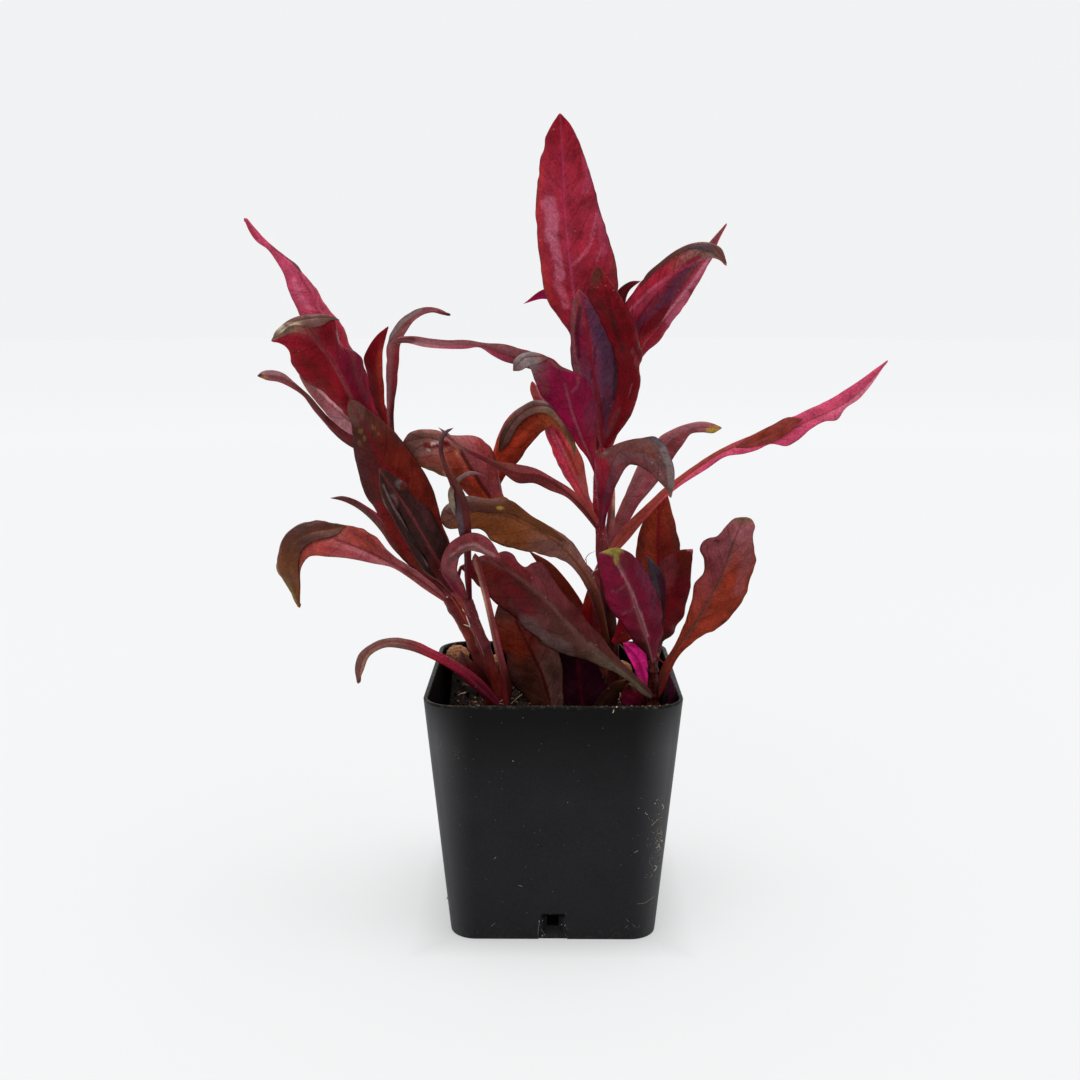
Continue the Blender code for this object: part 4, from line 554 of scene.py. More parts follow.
    "leaf_centre_drooping": (leaf("602,528 604,506 607,486 612,466 621,451 638,449 654,459 "
        "665,477 671,498", "600,508 597,486 596,468 598,454 610,447.5 624,442 640,438.5 655,437 "
        "663,442 671,457 674.5,470 674,485", "606,512 611,498 616,484 622,474 629,465 638,465.5 "
        "647,470.5 658,480.5 667,491", "-2.4 -6 -10 -15 -19 -22 -23", lean="1/-1", cup="0.4 0.4",
        colour="magenta"),
        paint("wine crimson blue_grey grey_brown", "wine dusky brown grey_brown", "dusky",
        "magenta", "604,453 616,449 632,446 648,446 658,456 6 grey_brown 0.85; "
        "612,462 630,457 648,462 660,474 4.5 pale_dusk 0.6; "
        "646,447 652,452 655,458 2.4 brick 0.45; 664,450 670,468 671,486 3.4 grey 0.8; "
        "630,458 645,463 658,474 2.5 dusky 0.6; 606,453 3x1.6 pale_mauve 0.6; "
        "671,496 3x3 olive_grey 0.8; 606,500 610,482 616,470 3 plum 0.5", satin=0.2, light=1.15)),
    "leaf_right_folded": (leaf("655,662 660,636 662,606 670,584 677,568 684,557 693,549",
        "655,640 655,618 655,592 656,574 661,560 670,553 682,549.5",
        "662,641 671,635 677,626 683,615 687,598 691,585 692,570 692.5,557", "-12 -8 -5 -3 -3",
        lean="2.5/2.5", cup="0.4 0.4", colour="rust"),
        paint("mauve maroon blood red_brown", "red_black blood blood red_brown", "red_brown",
        "maroon", "692,549 5x2 pink 0.7; 668,570 9x16 dusky 0.6", light=0.75)),
    "leaf_right_small_blue": (leaf("654,660 658,634 660,608 657,583 652,568 647,555",
        "654,634 653,605 650,580 647.5,566", "661,634 665,605 665.5,584 661,571 653,561",
        "-13 -12 -11 -10 -9", colour="maroon"),
        paint("blue_grey blue_grey blue_grey blue_grey", "red_black red_black purple blue_grey",
        "blue_grey", "maroon", light=0.9)),
    "leaf_right_long": (leaf("603,562 624,535 650,510 682,481 708,462 734,448 757,443 780,434 "
        "811,420 847,402 867,385 888,360", "621,532 645,507 663,490 690,469 714,453 729,445 "
        "748,437 770,426 794,416 811,408 828,400 845,390 861,379.5 875,369",
        "625,541 645,518 675,489 707,468.5 727,456 745,453.5 757,450 771,444 787,446 797,441 "
        "811,429 825,421.5 837,420 845,409 859,399 868,389", "-1.5 1 3.5 5 6 6", lean="1/-1",
        cup="0.3 0.3", colour="pink_red"),
        paint("brick brick rose rose", "brick rose rose pink", "brick", "dusky", light=1.3),
        fold("736,447 752,443 768,437 784,430 803,419", "745,439 758,432 772,425 789,417",
        "746,449 760,446 775,441 790,431", "0.1 0.6 0.7 0.6 0.2", lean="0.7/-0.2", cup="0.2 0.2"),
        paint("brick rust brick brick", "brick brick rust brick", "brick", "dusky", satin=0.2)),
    "leaf_right_arched_torn": (leaf("603,556 614,532 626,508 636,484 649,461 666,441 690,429 "
        "722,428", "611,532 620,508 628,489 637,468 648,450 660,436.5 672,429 686,424 700,421.5 "
        "712,423", "619,534 629,520 638,505 648,493 659,480 667,468 675,455 684,443 691,434 "
        "702,432.5 714,433", "2.4 8 10 11 11", lean="1.5/-1", cup="0.4 0.4", colour="mauve"),
        paint("brick mauve mauve mauve", "dusky mauve dusky mauve", "mauve", "maroon",
        "713,430 7x3.5 yellow 0.9; 703,434 708,435 714,433.5 1.4 black 0.9; "
        "662,446 680,432 700,425 1.3 pale_mauve 0.5; 668,444 682,436 694,430 3 dusky 0.5; "
        "630,520 640,495 652,474 3 rose_red 0.35", satin=0.15, light=1.3)),
    "leaf_centre_pink_back": (leaf("599,526 587,502 573,476 560,448 548,420 532,381",
        "593,517 582,500 570,484 560,469 551,447 543,427 534,402 530,388",
        "595,512 589,499 586,478 583,460 577,447 567,431 556,408 542,391", "2 8 12 15 17",
        lean="1/1", cup="0.5 0.5", colour="pink_red"),
        paint("brick rose_red rose_red brick", "brick brick rose_red mauve", "rose_red", "maroon",
        # The pink stroke is a painted highlight.
        "552,432 560,446 565,458 2 pink 0.5; 556,430 567,450 578,475 1.3 deep_red 0.6; "
        "534,392 540,412 549,432 3 mauve 0.5; 580,478 588,500 3 mauve 0.5", satin=0.12,
        light=1.95)),
    "leaf_centre_brown_arch": (leaf("606,592 586,571 560,547 530,529 508,508 495,488 499,462 "
        "512,436 530,417 549,413 565,428 576,457", "590,576 563,551 530,533 504,511 491,489 "
        "491,462 497,438 510,415 522,406 535,400.5 545,401.5 556,413 568,427 575,441",
        "591,571 566,548 536,529 512,508 500,489 508,472 519,461 527,449 534,440 543,431 550,426 "
        "560,431 569,443", "2.8 13.5 14.5 12 10 7 4", lean="0.5/-0.5", colour="olive_brown"),
        paint("blood scarlet_brown scarlet_brown brown",
        "maroon scarlet_brown scarlet_brown olive_brown", "rust", "maroon",
        "505,478 515,460 527,445 538,432 7 scarlet_brown 0.9; "
        "500,492 508,482 518,468 5 brick 0.5; 516,432 524,424 534,418 4 scarlet_brown 0.8; "
        "566,430 570,442 574,455 3 olive 0.9; 520,448 532,436 0.9 red_black 0.5", light=1.95),
        fold("499,452 507,432 520,415 536,406.5 550,408 563,422 573,442",
        "499,438 511,416 523,405.5 536,400 548,402.5 562,416",
        "509,443 518,427 530,416 543,413 555,420 566,434", "0.2 0.9 1.1 0.9 0.4", lean="0.9/-0.4",
        cup="0.3 0.3"),
        paint("brown grey_brown grey_brown olive_brown", "grey_brown grey_brown tan olive_brown",
        "brown", "maroon", satin=0.4, rim="brown_black")),
    "leaf_centre_stalk_back": (leaf("602,548 608,526 611,505 611,484 607,468",
        "606,530 608,505 607,484", "613,528 615,505 614,484", "1.6 2.6 3.2 2.6", colour="mauve"),
        paint("maroon dusky dusky dusky", "dusky grey_brown tan tan", "dusky", "maroon",
        light=2.45)),
    "leaf_back_dark": (leaf("610,664 599,648 591,622 594,592 600,566 606,548",
        "598,655 585,636 582,612 589,585 596,566", "606,640 600,620 602,592 605,570",
        "6.5 9 10 10 9", colour="maroon"),
        paint("red_black blood rust mauve", "blood maroon rust maroon", "blood", "maroon",
        light=2.3)),
    "leaf_back_red_narrow": (leaf("611,683 600,655 588,622 576,601 562,583 547,567 528,550",
        "598,668 585,632 573,608 558,588 544,572", "606,655 592,622 580,599 566,579 551,563",
        "7.5 12 14 14 13"),
        paint("brown brick rust brick", "maroon rust rust brick", "brick", "maroon")),
    "leaf_pot_bright_magenta": (leaf("650,694 644,675 637,657 623,642.5",
        "645,686 637,675 631,662 625,650", "648,682 647.5,664 645,652 636,643.5", "-10 -7 -5 -3",
        cup="-0.4 -0.4", colour="magenta"),
        paint("wine hot_magenta pink_magenta pink_magenta",
        "hot_magenta pink_magenta pink_magenta hot_magenta", "hot_magenta", "maroon", light=1.7)),
    "leaf_pot_magenta_low": (leaf("646,722 641,708 635,695 629,683",
        "636,720 624,708 621,697 624,688", "652,716 648,702 640,689", "-9 -9 -9 -9",
        colour="magenta"),
        paint("purple purple wine maroon", "red_black red_black wine olive", "wine", "maroon",
        light=1.4)),
    "leaf_pot_olive": (leaf("594,720 600,706 612,692 627,679", "594,707 604,691 616,681",
        "604,713 615,700 625,686", "-3 -3.5 -4 -4.5", colour="olive_brown"),
        paint("brown_black brown_black brown_black olive_brown",
        "brown_black brown_black brown_black olive_brown", "brown", "maroon")),
    "leaf_pot_red_back": (leaf("613,643 622,632 631,617 638,600", "616,633 619,618 629,603",
        "629,640 640,626 644,610", "0.6 -0.4 -1.2 -1.8"),
        paint("deep_red deep_red crimson crimson", "red_brown rust rust rust", "crimson", "maroon",
        light=2)),
    "leaf_pot_right_purple": (leaf("666,718 669,702 671,687 670,673", "662,707 664,693 667,681",
        "673,708 675.5,697 674,684", "-18.5 -18.5 -18 -17.5", colour="purple_black"),
        paint("black black purple purple", "black purple purple wine", "purple", "maroon",
        light=0.57)),
}

# Marks on the pot's front: scratches and threads as places, radius in mm and shade
SCRATCHES = ("637.2,903.9 644.5,903 650.3,899.2 655.6,895.2 0.055 straw_grey; "
    "439.5,748 440.8,744 441.8,740.5 0.06 dim_chalk; 494,859 496,857 0.08 straw_grey; "
    "518.5,885.3 522.5,886.3 0.07 straw_grey; 491,926.5 495,923 0.07 dim_chalk; "
    "634.2,852.6 638.3,850.5 0.09 straw_grey; 626,918.5 629,922 0.05 dim_chalk; "
    "625,928 628,925.5 0.06 dim_chalk; 632,924 636,927.5 0.05 dim_chalk; "
    "638,928 640,924.5 0.05 dim_chalk; 446.8,899.5 447.8,896.5 0.1 tan; "
    "656.3,800.6 657.8,799 0.08 chalk; 661.7,804.1 663.3,806.4 662.6,809.2 0.12 chalk; "
    "648,816.9 649.6,819.8 0.06 dim_chalk; 658.8,845.6 660.1,847.8 0.12 chalk; "
    "651.5,825.5 653.7,823.3 655.9,821.4 656.6,819.4 0.11 straw_grey; "
    "658.8,843.7 659.4,845.3 658.2,846.5 655.9,848.1 0.12 chalk; "
    "649.5,858 649.5,862.8 652.4,866.6 653.4,871.1 0.06 dim_chalk; "
    "654.7,865.4 656.3,867 655.3,869.2 653.7,871.1 0.15 chalk; "
    "640,797.8 641.9,798.4 0.05 dim_chalk; 657,832 658,828 0.08 straw_grey; "
    "539.6,921 538.5,928 538,936 0.07 dim_chalk; 541,929 543.5,932.5 0.08 dim_chalk; "
    "564.5,926 565.5,924.5 0.07 chalk; 614,710 612.8,713 0.1 cream; "
    "616,707.5 617.5,706.5 0.14 cream")
# Single specks on the pot's front as (across, down, radius in mm)
SPECKS = ("655,803.5,0.26 658.5,804,0.11 638.7,808.1,0.15 645.5,812.8,0.22 647,814.3,0.18 "
    "650.5,816.3,0.12 659.8,816.9,0.14 661.4,840.8,0.24 660.3,839.6,0.17 657.8,851,0.15 "
    "658.5,854.5,0.12 650.2,844.6,0.11 633,838.6,0.1 631.7,855.5,0.12 633,849.7,0.12 "
    "651.5,857.4,0.14 654.7,875.9,0.14 661.7,857.1,0.12 659.8,862.5,0.12 652.7,792.8,0.1 "
    "657.4,833.8,0.15 655.2,837,0.12 539.2,921.2,0.17 542.4,920.6,0.15 561.7,924.6,0.15 "
    "544.4,934.4,0.16 542.3,935.6,0.15 564.5,922.4,0.1 550,913.8,0.11 565.3,934.8,0.12 "
    "538,934,0.13 555.4,937.2,0.09 519,763.4,0.09 539,750,0.09 477,739.2,0.1 594.3,772.4,0.09 "
    "620,772.4,0.08 454.4,817.6,0.11 620.6,864.8,0.1 486.5,879,0.1 531.4,879,0.1 502.5,901.6,0.11 "
    "454.7,884,0.1 513.1,761,0.2 522.9,717.8,0.13 541.5,743.7,0.11 578,780.5,0.13 "
    "567.6,802.3,0.15 539.8,830.3,0.12 534.5,833,0.1 525.8,866.7,0.13 580.6,828,0.09 "
    "639,807.9,0.12 527,912.8,0.11 652.6,903.6,0.14 537.8,844.5,0.11 564,845,0.11 578,842,0.1 "
    "496.8,772,0.09 489,782,0.1 449.5,781,0.1 459,752,0.12 458,758.5,0.1 456.5,797,0.1 "
    "476,796.5,0.09 454,817.5,0.12 445.5,825,0.12 455,883.5,0.1 502.5,901.5,0.1 532,878.5,0.09 "
    "618.5,775,0.09 625.5,756,0.08 615,800,0.08 621.5,865,0.09 471,717,0.13 434.5,721,0.13 "
    "550,804,0.06 606,843,0.07 596,775,0.08")
# Loose threads and chips, and one white thread that is a painted highlight: places with their
# depth, radius in mm and shade
BITS = ("598,684,14 601,676,14.2 604,670,14.4 607,666,14.5 0.22 cream; "
    "619.8,644.3,7 627,652,8 635,660.4,9 0.2 tan; 604.6,648,1 607,644,1 0.16 cream; "
    "620,693,-5.5 623,700,-5.7 626,706.8,-6 0.22 straw; "
    "584.6,561,0 588,555,-0.6 595,551,-0.8 0.1 white; "
    "590,576,0 594,571,-0.5 598,569,-0.8 0.1 white; "
    "591.5,583,0 593,580,-0.5 594,577,-0.6 0.09 white; "
    "586,558,0.4 587,568,0.2 590,580,0.4 0.08 brown; "
    "657,656,-13 660,660,-13.2 663.6,663,-13.4 0.16 deep_red; "
    "617,640.6,1.8 622,636.7,1.2 628,637.2,1 632,639.6,1.4 0.14 tan; "
    "655.6,645,-12.6 657.5,657,-12.8 0.35 orange; 498,706,-6 500,702,-6.4 503,700,-6.2 0.1 root; "
    "496,707,-6 499,704,-6.6 504,704,-6.4 0.09 root; "
    "456.5,586,3.6 458,577,3.8 460.5,568,4 0.5 deep_red; "
    "509,700,6 516,690,8 525,681,10 0.16 earth; 511,704,5 520,696,6 526,692,7 0.14 straw; "
    "452,597,-2.4 459,607,-2.9 464,616,-3.6 469,625,-4.4 0.42 scarlet_brown; "
    # This white thread is a painted highlight along the red sliver's edge.
    "462.5,609,-4 465.5,613,-4.4 467.5,619,-5 470,626,-5.6 0.13 white; "
    "464,624.5,-4.6 467,625.5,-5.2 470,627,-5.6 0.14 cream; "
    "476.5,637,-5.5 480,645,-5.6 484,655,-5.7 0.07 pale_mauve")



def through(knots, points, t):
    """A smooth curve through the points: cubic pieces whose slopes are those of the parabola
    through each point and its neighbours."""
    slopes = np.gradient(points, knots, axis=0)
    i = np.clip(np.searchsorted(knots, t, side="right") - 1, 0, len(knots) - 2)
    step = (knots[i + 1] - knots[i])[:, None]
    u = ((t - knots[i])[:, None]) / step
    return ((2 * u**3 - 3 * u**2 + 1) * points[i] + (u**3 - 2 * u**2 + u) * step * slopes[i]
            + (3 * u**2 - 2 * u**3) * points[i + 1] + (u**3 - u**2) * step * slopes[i + 1])


def even(values, t):
    """Smooth values given at equal steps of t from 0 to 1."""
    values = np.asarray(values, float)
    if len(values) == 1:
        return np.full(len(t), values[0])
    return through(np.linspace(0.0, 1.0, len(values)), values[:, None], t)[:, 0]


def line(points, t):
    """A smooth line through the points, t running from 0 to 1 along its length."""
    points = np.asarray(points, float)
    steps = np.linalg.norm(np.diff(points[:, :2], axis=0), axis=1)
    knots = np.concatenate(((0.0,), np.cumsum(steps))) / steps.sum()
    return through(knots, points, t)


def view_axes():
    """Unit vectors to the right, ahead and up for someone at EYE."""
    turn = np.array((math.cos(EYE_TURN), math.sin(EYE_TURN), 0.0))
    ahead = np.array((-math.sin(EYE_TURN) * math.cos(EYE_DIP),
                      math.cos(EYE_TURN) * math.cos(EYE_DIP), -math.sin(EYE_DIP)))
    return turn, ahead, np.cross(turn, ahead)


def sight(spots, deep):
    """The points that lie deep mm behind the pot's middle plane and are seen at the spots."""
    turn, ahead, up = view_axes()
    offset = (np.asarray(spots, float) - PLANE_MIDDLE) / PLANE_DISTANCE
    rays = ahead + offset[:, :1] * turn - offset[:, 1:2] * up
    return EYE + rays * ((deep - EYE[1]) / rays[:, 1])[:, None]


def spots_at(path):
    """The points of places given as (across, down, deep)."""
    return sight(path[:, :2], path[:, 2])


def seen_at(points):
    """Where points are seen on the picture plane: the inverse of sight()."""
    turn, ahead, up = view_axes()
    reach = points - EYE
    far = reach @ ahead
    return np.stack((PLANE_MIDDLE + PLANE_DISTANCE * (reach @ turn) / far,
                     PLANE_MIDDLE - PLANE_DISTANCE * (reach @ up) / far), axis=-1)


def unit(vectors):
    """The vectors at length 1."""
    return vectors / (np.linalg.norm(vectors, axis=-1, keepdims=True) + 1e-9)


def shade(name):
    """A named tissue colour as an array."""
    return np.array(SHADES[name])


def drawn_shades(draw, names, count):
    """So many colours, each drawn from the named shades."""
    shades = np.array([SHADES[name] for name in names.split()])
    return shades[draw.integers(0, len(shades), count)]


def ramp(names, stops, t):
    """Colours that pass smoothly through the named shades at the stops."""
    colours = np.array([SHADES[name] for name in names])
    place = np.clip(np.interp(t, stops, np.arange(len(stops))), 0, len(stops) - 1)
    low = np.minimum(place.astype(int), len(stops) - 2)
    part = place - low
    part = (part * part * (3 - 2 * part))[..., None]
    return colours[low] * (1 - part) + colours[low + 1] * part


def ripple(x, y, size, seed):
    """Smooth random relief from -1 to 1: values drawn on a square lattice of the given size and
    joined by smooth steps."""
    draw = np.random.default_rng(seed).uniform(-1.0, 1.0, (64, 64))
    u, v = np.asarray(x) / size, np.asarray(y) / size
    i, j = np.floor(u).astype(int), np.floor(v).astype(int)
    a, b = u - i, v - j
    a, b = a * a * (3 - 2 * a), b * b * (3 - 2 * b)
    return ((draw[i % 64, j % 64] * (1 - a) + draw[(i + 1) % 64, j % 64] * a) * (1 - b)
            + (draw[i % 64, (j + 1) % 64] * (1 - a) + draw[(i + 1) % 64, (j + 1) % 64] * a) * b)


def blade(shape, t, across):
    """The leaf's middle surface on a grid: along the midrib by t, across from margin to margin.

    Each half runs straight from midrib to margin and bulges by its cup, in mm at the widest
    place. The margins stand off the midrib by the stalk's half width where the leaf starts.
    """
    deep = even(shape["deep"], t)
    midrib = sight(line(shape["mid"], t), deep)
    along = unit(np.gradient(midrib, axis=0))
    sideways = unit(np.cross(midrib - EYE, along))
    grid = np.repeat(midrib[:, None, :], len(across), axis=1)
    for sign, margin, lean, cup in shape["sides"]:
        edge = sight(line(margin, t), deep + even(lean, t))
        edge = edge + sign * sideways * (shape["foot"] * (1.0 - t) ** STALK_TAPER)[:, None]
        half = edge - midrib
        width = np.linalg.norm(half, axis=1)
        bulge = unit(np.cross(half, along)) * sign
        swell = (cup * width / width.max())[:, None] * bulge
        column = across * sign > 0
        share = np.abs(across[column])[None, :, None]
        grid[:, column] = (midrib[:, None] + share * half[:, None]
                           + 4 * share * (1 - share) * swell[:, None])
    return grid


def leaf_sheet(shape, colours, seed):
    """A leaf's closed sheet, with its colours and its flat layout.

    The middle surface comes from blade(). It is lifted along its normal by waves that grow
    towards the margin with the square of the distance from the midrib, and by low quilting
    between side veins: 1 - |sin| of (length along - slant x distance out) / vein spacing. Two
    faces stand off it by a lens whose half thickness is the square root of 1 - across squared,
    thick in the stalk and thin in the blade, with a raised midrib of bell section at the back.
    The blade counts as broad, and shows its side veins, from 1 to 3.5 mm half width.
    """
    rough = blade(shape, np.linspace(0.0, 1.0, 60), np.array((-1.0, 0.0, 1.0)))
    length = np.linalg.norm(np.diff(rough[:, 1], axis=0), axis=1).sum()
    rows = int(np.clip(length / ROW_LENGTH, *ROWS))
    t = np.linspace(0.0, 1.0, rows + 1)
    across = np.linspace(-1.0, 1.0, COLUMNS)
    across = np.sign(across) * np.abs(across) ** CROWDING
    side = np.sign(across)
    middle = COLUMNS // 2
    grid = blade(shape, t, across)
    run = (t * length)[:, None]
    out = np.linalg.norm(grid - grid[:, middle][:, None], axis=2)
    half = np.maximum(out[:, :1], out[:, -1:])
    normal = unit(np.cross(np.gradient(grid, axis=1), np.gradient(grid, axis=0)))
    wide = np.clip((half - BROAD_FROM) / 3.0, 0.0, 1.0)
    waves = (ripple(run, side * 9.0, WAVE_SIZE, seed)
             + 0.6 * ripple(run, side * 7.0, SMALL_WAVE_SIZE, seed + 1))
    lift = WAVE_HEIGHT * wide * (out / np.maximum(half, 0.5)) ** 2 * waves
    vein = np.abs(np.sin(np.pi * ((run - VEIN_SLANT * out) / VEIN_GAP + 0.25 * side)))
    swell = np.sin(np.pi * np.clip(np.abs(across), 0, 1)) ** 0.7
    lift = lift + QUILT_HEIGHT * wide * (vein - 0.6) * swell
    lift = lift + DIMPLE_HEIGHT * wide * ripple(out * side, run, DIMPLE_SIZE, seed + 2)
    grid = grid + normal * (colours["relief"] * lift)[:, :, None]
    lens = np.sqrt(np.clip(1.0 - across**2, 0.0, 1.0))[None]
    stalk = STALK_THICK * np.exp(-(half / STALK_SPREAD) ** 2) * (shape["foot"] / STALK_HALF)
    thick = lens * (BLADE_THICK + stalk)
    rib = RIB_HEIGHT * (1.0 - 0.75 * t[:, None]) * np.exp(-(out / RIB_HALF) ** 2) * wide
    front = grid + normal * (thick + 0.35 * rib)[:, :, None]
    back = grid - normal * (thick + rib)[:, :, None]
    points = np.concatenate((front[:-1].reshape(-1, 3), back[:-1, 1:-1].reshape(-1, 3),
                             grid[-1, middle][None]))
    quads, tris, quads_back, tris_back = sheet_faces(rows, COLUMNS)
    tissue, away, midrib = leaf_colours(colours, t, across, out, seen_at(front), seed)
    broad = np.clip((half - BROAD_FROM) / 2.5, 0.0, 1.0)[..., None] * np.ones((1, COLUMNS, 3))
    flat = np.stack(np.broadcast_arrays(out * side / 10.0, run / 10.0), axis=-1)
    sheet = dict(points=points, quads=quads, tris=tris, quads_back=quads_back,
                 tris_back=tris_back)
    for name, values in (("tissue", tissue), ("tissue_back", away), ("midrib", midrib),
                         ("broad", broad), ("flat", flat)):
        depth = values.shape[-1]
        sheet[name] = np.concatenate((values[:-1].reshape(-1, depth),
                                      values[:-1, 1:-1].reshape(-1, depth),
                                      values[-1, middle][None]))
    return sheet, front


def between(first, second):
    """Four-sided faces between two grids of point numbers that lie side by side."""
    return np.stack((first[:-1], second[:-1], second[1:], first[1:]), axis=-1).reshape(-1, 4)


def sheet_faces(rows, columns):
    """Faces of a closed sheet: a front and a back grid that share their outer columns, a start
    cap, and a tip point. Also says which of them belong to the back."""
    front = np.arange(rows * columns).reshape(rows, columns)
    back = front.copy()
    back[:, 1:-1] = rows * columns + np.arange(rows * (columns - 2)).reshape(rows, columns - 2)
    tip = rows * columns + rows * (columns - 2)
    cap = np.stack((front[0, 1:-2], back[0, 1:-2], back[0, 2:-1], front[0, 2:-1]), axis=-1)
    quads = np.concatenate((between(front[:, :-1], front[:, 1:]),
                            between(back[:, :-1], back[:, 1:])[:, ::-1], cap))
    fan = np.stack((front[-1, :-1], front[-1, 1:], np.full(columns - 1, tip)), axis=-1)
    fan_back = np.stack((back[-1, 1:], back[-1, :-1], np.full(columns - 1, tip)), axis=-1)
    ends = np.array(((front[0, 0], back[0, 1], front[0, 1]),
                     (front[0, -2], back[0, -2], front[0, -1])))
    tris = np.concatenate((fan, fan_back, ends))
    half = (rows - 1) * (columns - 1)
    quads_back = np.repeat((False, True, False), (half, half, len(cap)))
    tris_back = np.repeat((False, True, False), (columns - 1, columns - 1, 2))
    return quads, tris, quads_back, tris_back


def leaf_colours(colours, t, across, out, place, seed):
    """Colours of a leaf's two faces on its grid, and its midrib's with its strength: each half
    passes through its four shades, a bell-shaped band follows the midrib, the margin is a little
    darker, and marks are soft ellipses or strokes on the picture plane. Some marks are painted
    highlights, painted sheen and painted shade in creases and curls."""
    left = ramp(colours["left"], PAINT_STOPS, t)
    right = ramp(colours["right"], PAINT_STOPS, t)
    side = np.clip(0.5 + across / 0.25, 0.0, 1.0)[None, :, None]
    tissue = left[:, None] * (1 - side) + right[:, None] * side
    rib = np.exp(-(out / 0.7) ** 2)[..., None] * (1.0 - 0.6 * t)[:, None, None]
    tissue = tissue * (1 - 0.3 * rib) + shade(colours["rib"]) * 0.3 * rib
    run = t[:, None] * 40
    blotch = ripple(out * np.sign(across), run, 2.6, seed + 5)[..., None]
    tissue = tissue * (1.0 + 0.2 * blotch) * colours["light"]
    for spots, size, name, strength in colours["marks"]:
        size = numbers(size.replace("x", " "))
        if len(spots) == 1:
            away = (((place - spots[0]) / size) ** 2).sum(axis=-1)
        else:
            stroke = line(spots, np.linspace(0.0, 1.0, STROKE_STEPS))
            gap = np.linalg.norm(place[..., None, :] - stroke, axis=-1).min(axis=-1)
            away = (gap / size[0]) ** 2
        ragged = away * (1.0 + 0.35 * ripple(place[..., 0], place[..., 1], 5.0, seed + 6))
        mask = (float(strength) * np.clip(1.6 - ragged, 0.0, 1.0))[..., None]
        tissue = tissue * (1 - mask) + shade(name) * mask
    margin = (np.clip(np.abs(across) - MARGIN_FROM, 0, 1) / 0.12)[None, :, None]
    if colours["rim"]:
        tissue = tissue * (1 - 0.7 * margin) + shade(colours["rim"]) * 0.7 * margin
    else:
        tissue = tissue * (1 - 0.25 * margin)
    away = 0.55 * shade(colours["back"]) + 0.45 * tissue
    gloss = np.full(tissue.shape[:2] + (1,), GLOSS * colours["satin"])
    gloss = gloss * (1 + 0.8 * ripple(run, out * np.sign(across), 3.5, seed + 8)[..., None])
    tissue, away = (np.concatenate((face, np.clip(gloss, 0, 1)), axis=-1)
                    for face in (tissue, away))
    line_tint = np.ones(tissue.shape[:2] + (3,)) * shade(colours["rib"])
    strength = np.broadcast_to((0.9 - 0.55 * t)[:, None, None], tissue.shape[:2] + (1,))
    return tissue, away, np.concatenate((line_tint, strength), axis=-1)


def new_piece(name, points, quads, tris, materials, slot, replaced=None, **stored):
    """A mesh object in metres from whole arrays of points, four-sided and three-sided faces. The
    rest are colours for every vertex, stored under names that materials read."""
    quads = np.asarray(quads, int).reshape(-1, 4)
    tris = np.asarray(tris, int).reshape(-1, 3)
    corners = np.concatenate((quads.ravel(), tris.ravel()))
    starts = np.concatenate((np.arange(len(quads)) * 4, len(quads) * 4 + np.arange(len(tris)) * 3))
    mesh = bpy.data.meshes.new(name)
    mesh.vertices.add(len(points))
    mesh.vertices.foreach_set("co", (np.asarray(points) * MM).ravel())
    mesh.loops.add(len(corners))
    mesh.loops.foreach_set("vertex_index", corners)
    mesh.polygons.add(len(starts))
    mesh.polygons.foreach_set("loop_start", starts)
    mesh.update(calc_edges=True)
    for material in materials:
        mesh.materials.append(material)
    mesh.shade_smooth()
    piece = bpy.data.objects.new(name, mesh)
    bpy.context.scene.collection.objects.link(piece)
    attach(piece, "root")
    if replaced:
        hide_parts(replaced)
    for label, values in stored.items():
        if values.shape[1] == 3:
            values = np.column_stack((values, np.ones(len(values))))
        layer = mesh.attributes.new(label, "FLOAT_COLOR", "POINT")
        layer.data.foreach_set("color", values.ravel())
    return piece


def lay_out(piece, flat):
    """Stores a flat layout, in centimetres, as the piece's UV map."""
    layer = piece.data.uv_layers.new(name="layout")
    corner = np.empty(len(piece.data.loops), int)
    piece.data.loops.foreach_get("vertex_index", corner)
    layer.data.foreach_set("uv", flat[corner].ravel())


def make_leaf(node, parts, materials, seed):
    """One leaf, and the fold, flap or rolled margin that is part of it."""
    shape, colours, *flap = parts
    sheet, front = leaf_sheet(shape, colours, seed)
    sheets = [sheet]
    if flap:
        sheets.append(leaf_sheet(laid_on(flap[0], front), flap[1], seed + 31)[0])
        for faces in ("quads", "tris"):
            sheets[1][faces] = sheets[1][faces] + len(sheet["points"])
    whole = {name: np.concatenate([part[name] for part in sheets]) for name in sheet}
    painted = {name: whole[name] for name in ("tissue", "tissue_back", "midrib", "broad")}
    piece = new_piece(node.replace("leaf_", "blade_"), whole["points"], whole["quads"],
                      whole["tris"], materials, shape["colour"], node, **painted)
    backs = np.concatenate((whole["quads_back"], whole["tris_back"])).astype(int)
    piece.data.polygons.foreach_set("material_index", backs)
    lay_out(piece, whole["flat"])


def tube_rings(axis, radius, sides):
    """Rings of points round an axis; radius is given for every ring and corner."""
    along = unit(np.gradient(axis, axis=0))
    first = unit(np.cross(along, np.array((0.0, 1.0, 0.0))))
    second = np.cross(first, along)
    angle = np.linspace(0.0, 2 * math.pi, sides, endpoint=False)
    return (axis[:, None] + radius[:, :, None]
            * (np.cos(angle)[None, :, None] * first[:, None]
               + np.sin(angle)[None, :, None] * second[:, None]))


def tube_faces(rings, sides):
    """Faces of a tube whose two ends are closed by one point each, after the rings' points."""
    ring = np.arange(rings * sides).reshape(rings, sides)
    turn = np.roll(ring, -1, axis=1)
    foot, top = rings * sides, rings * sides + 1
    tris = np.concatenate((np.stack((turn[0], ring[0], np.full(sides, foot)), axis=-1),
                           np.stack((ring[-1], turn[-1], np.full(sides, top)), axis=-1)))
    return between(ring, turn), tris


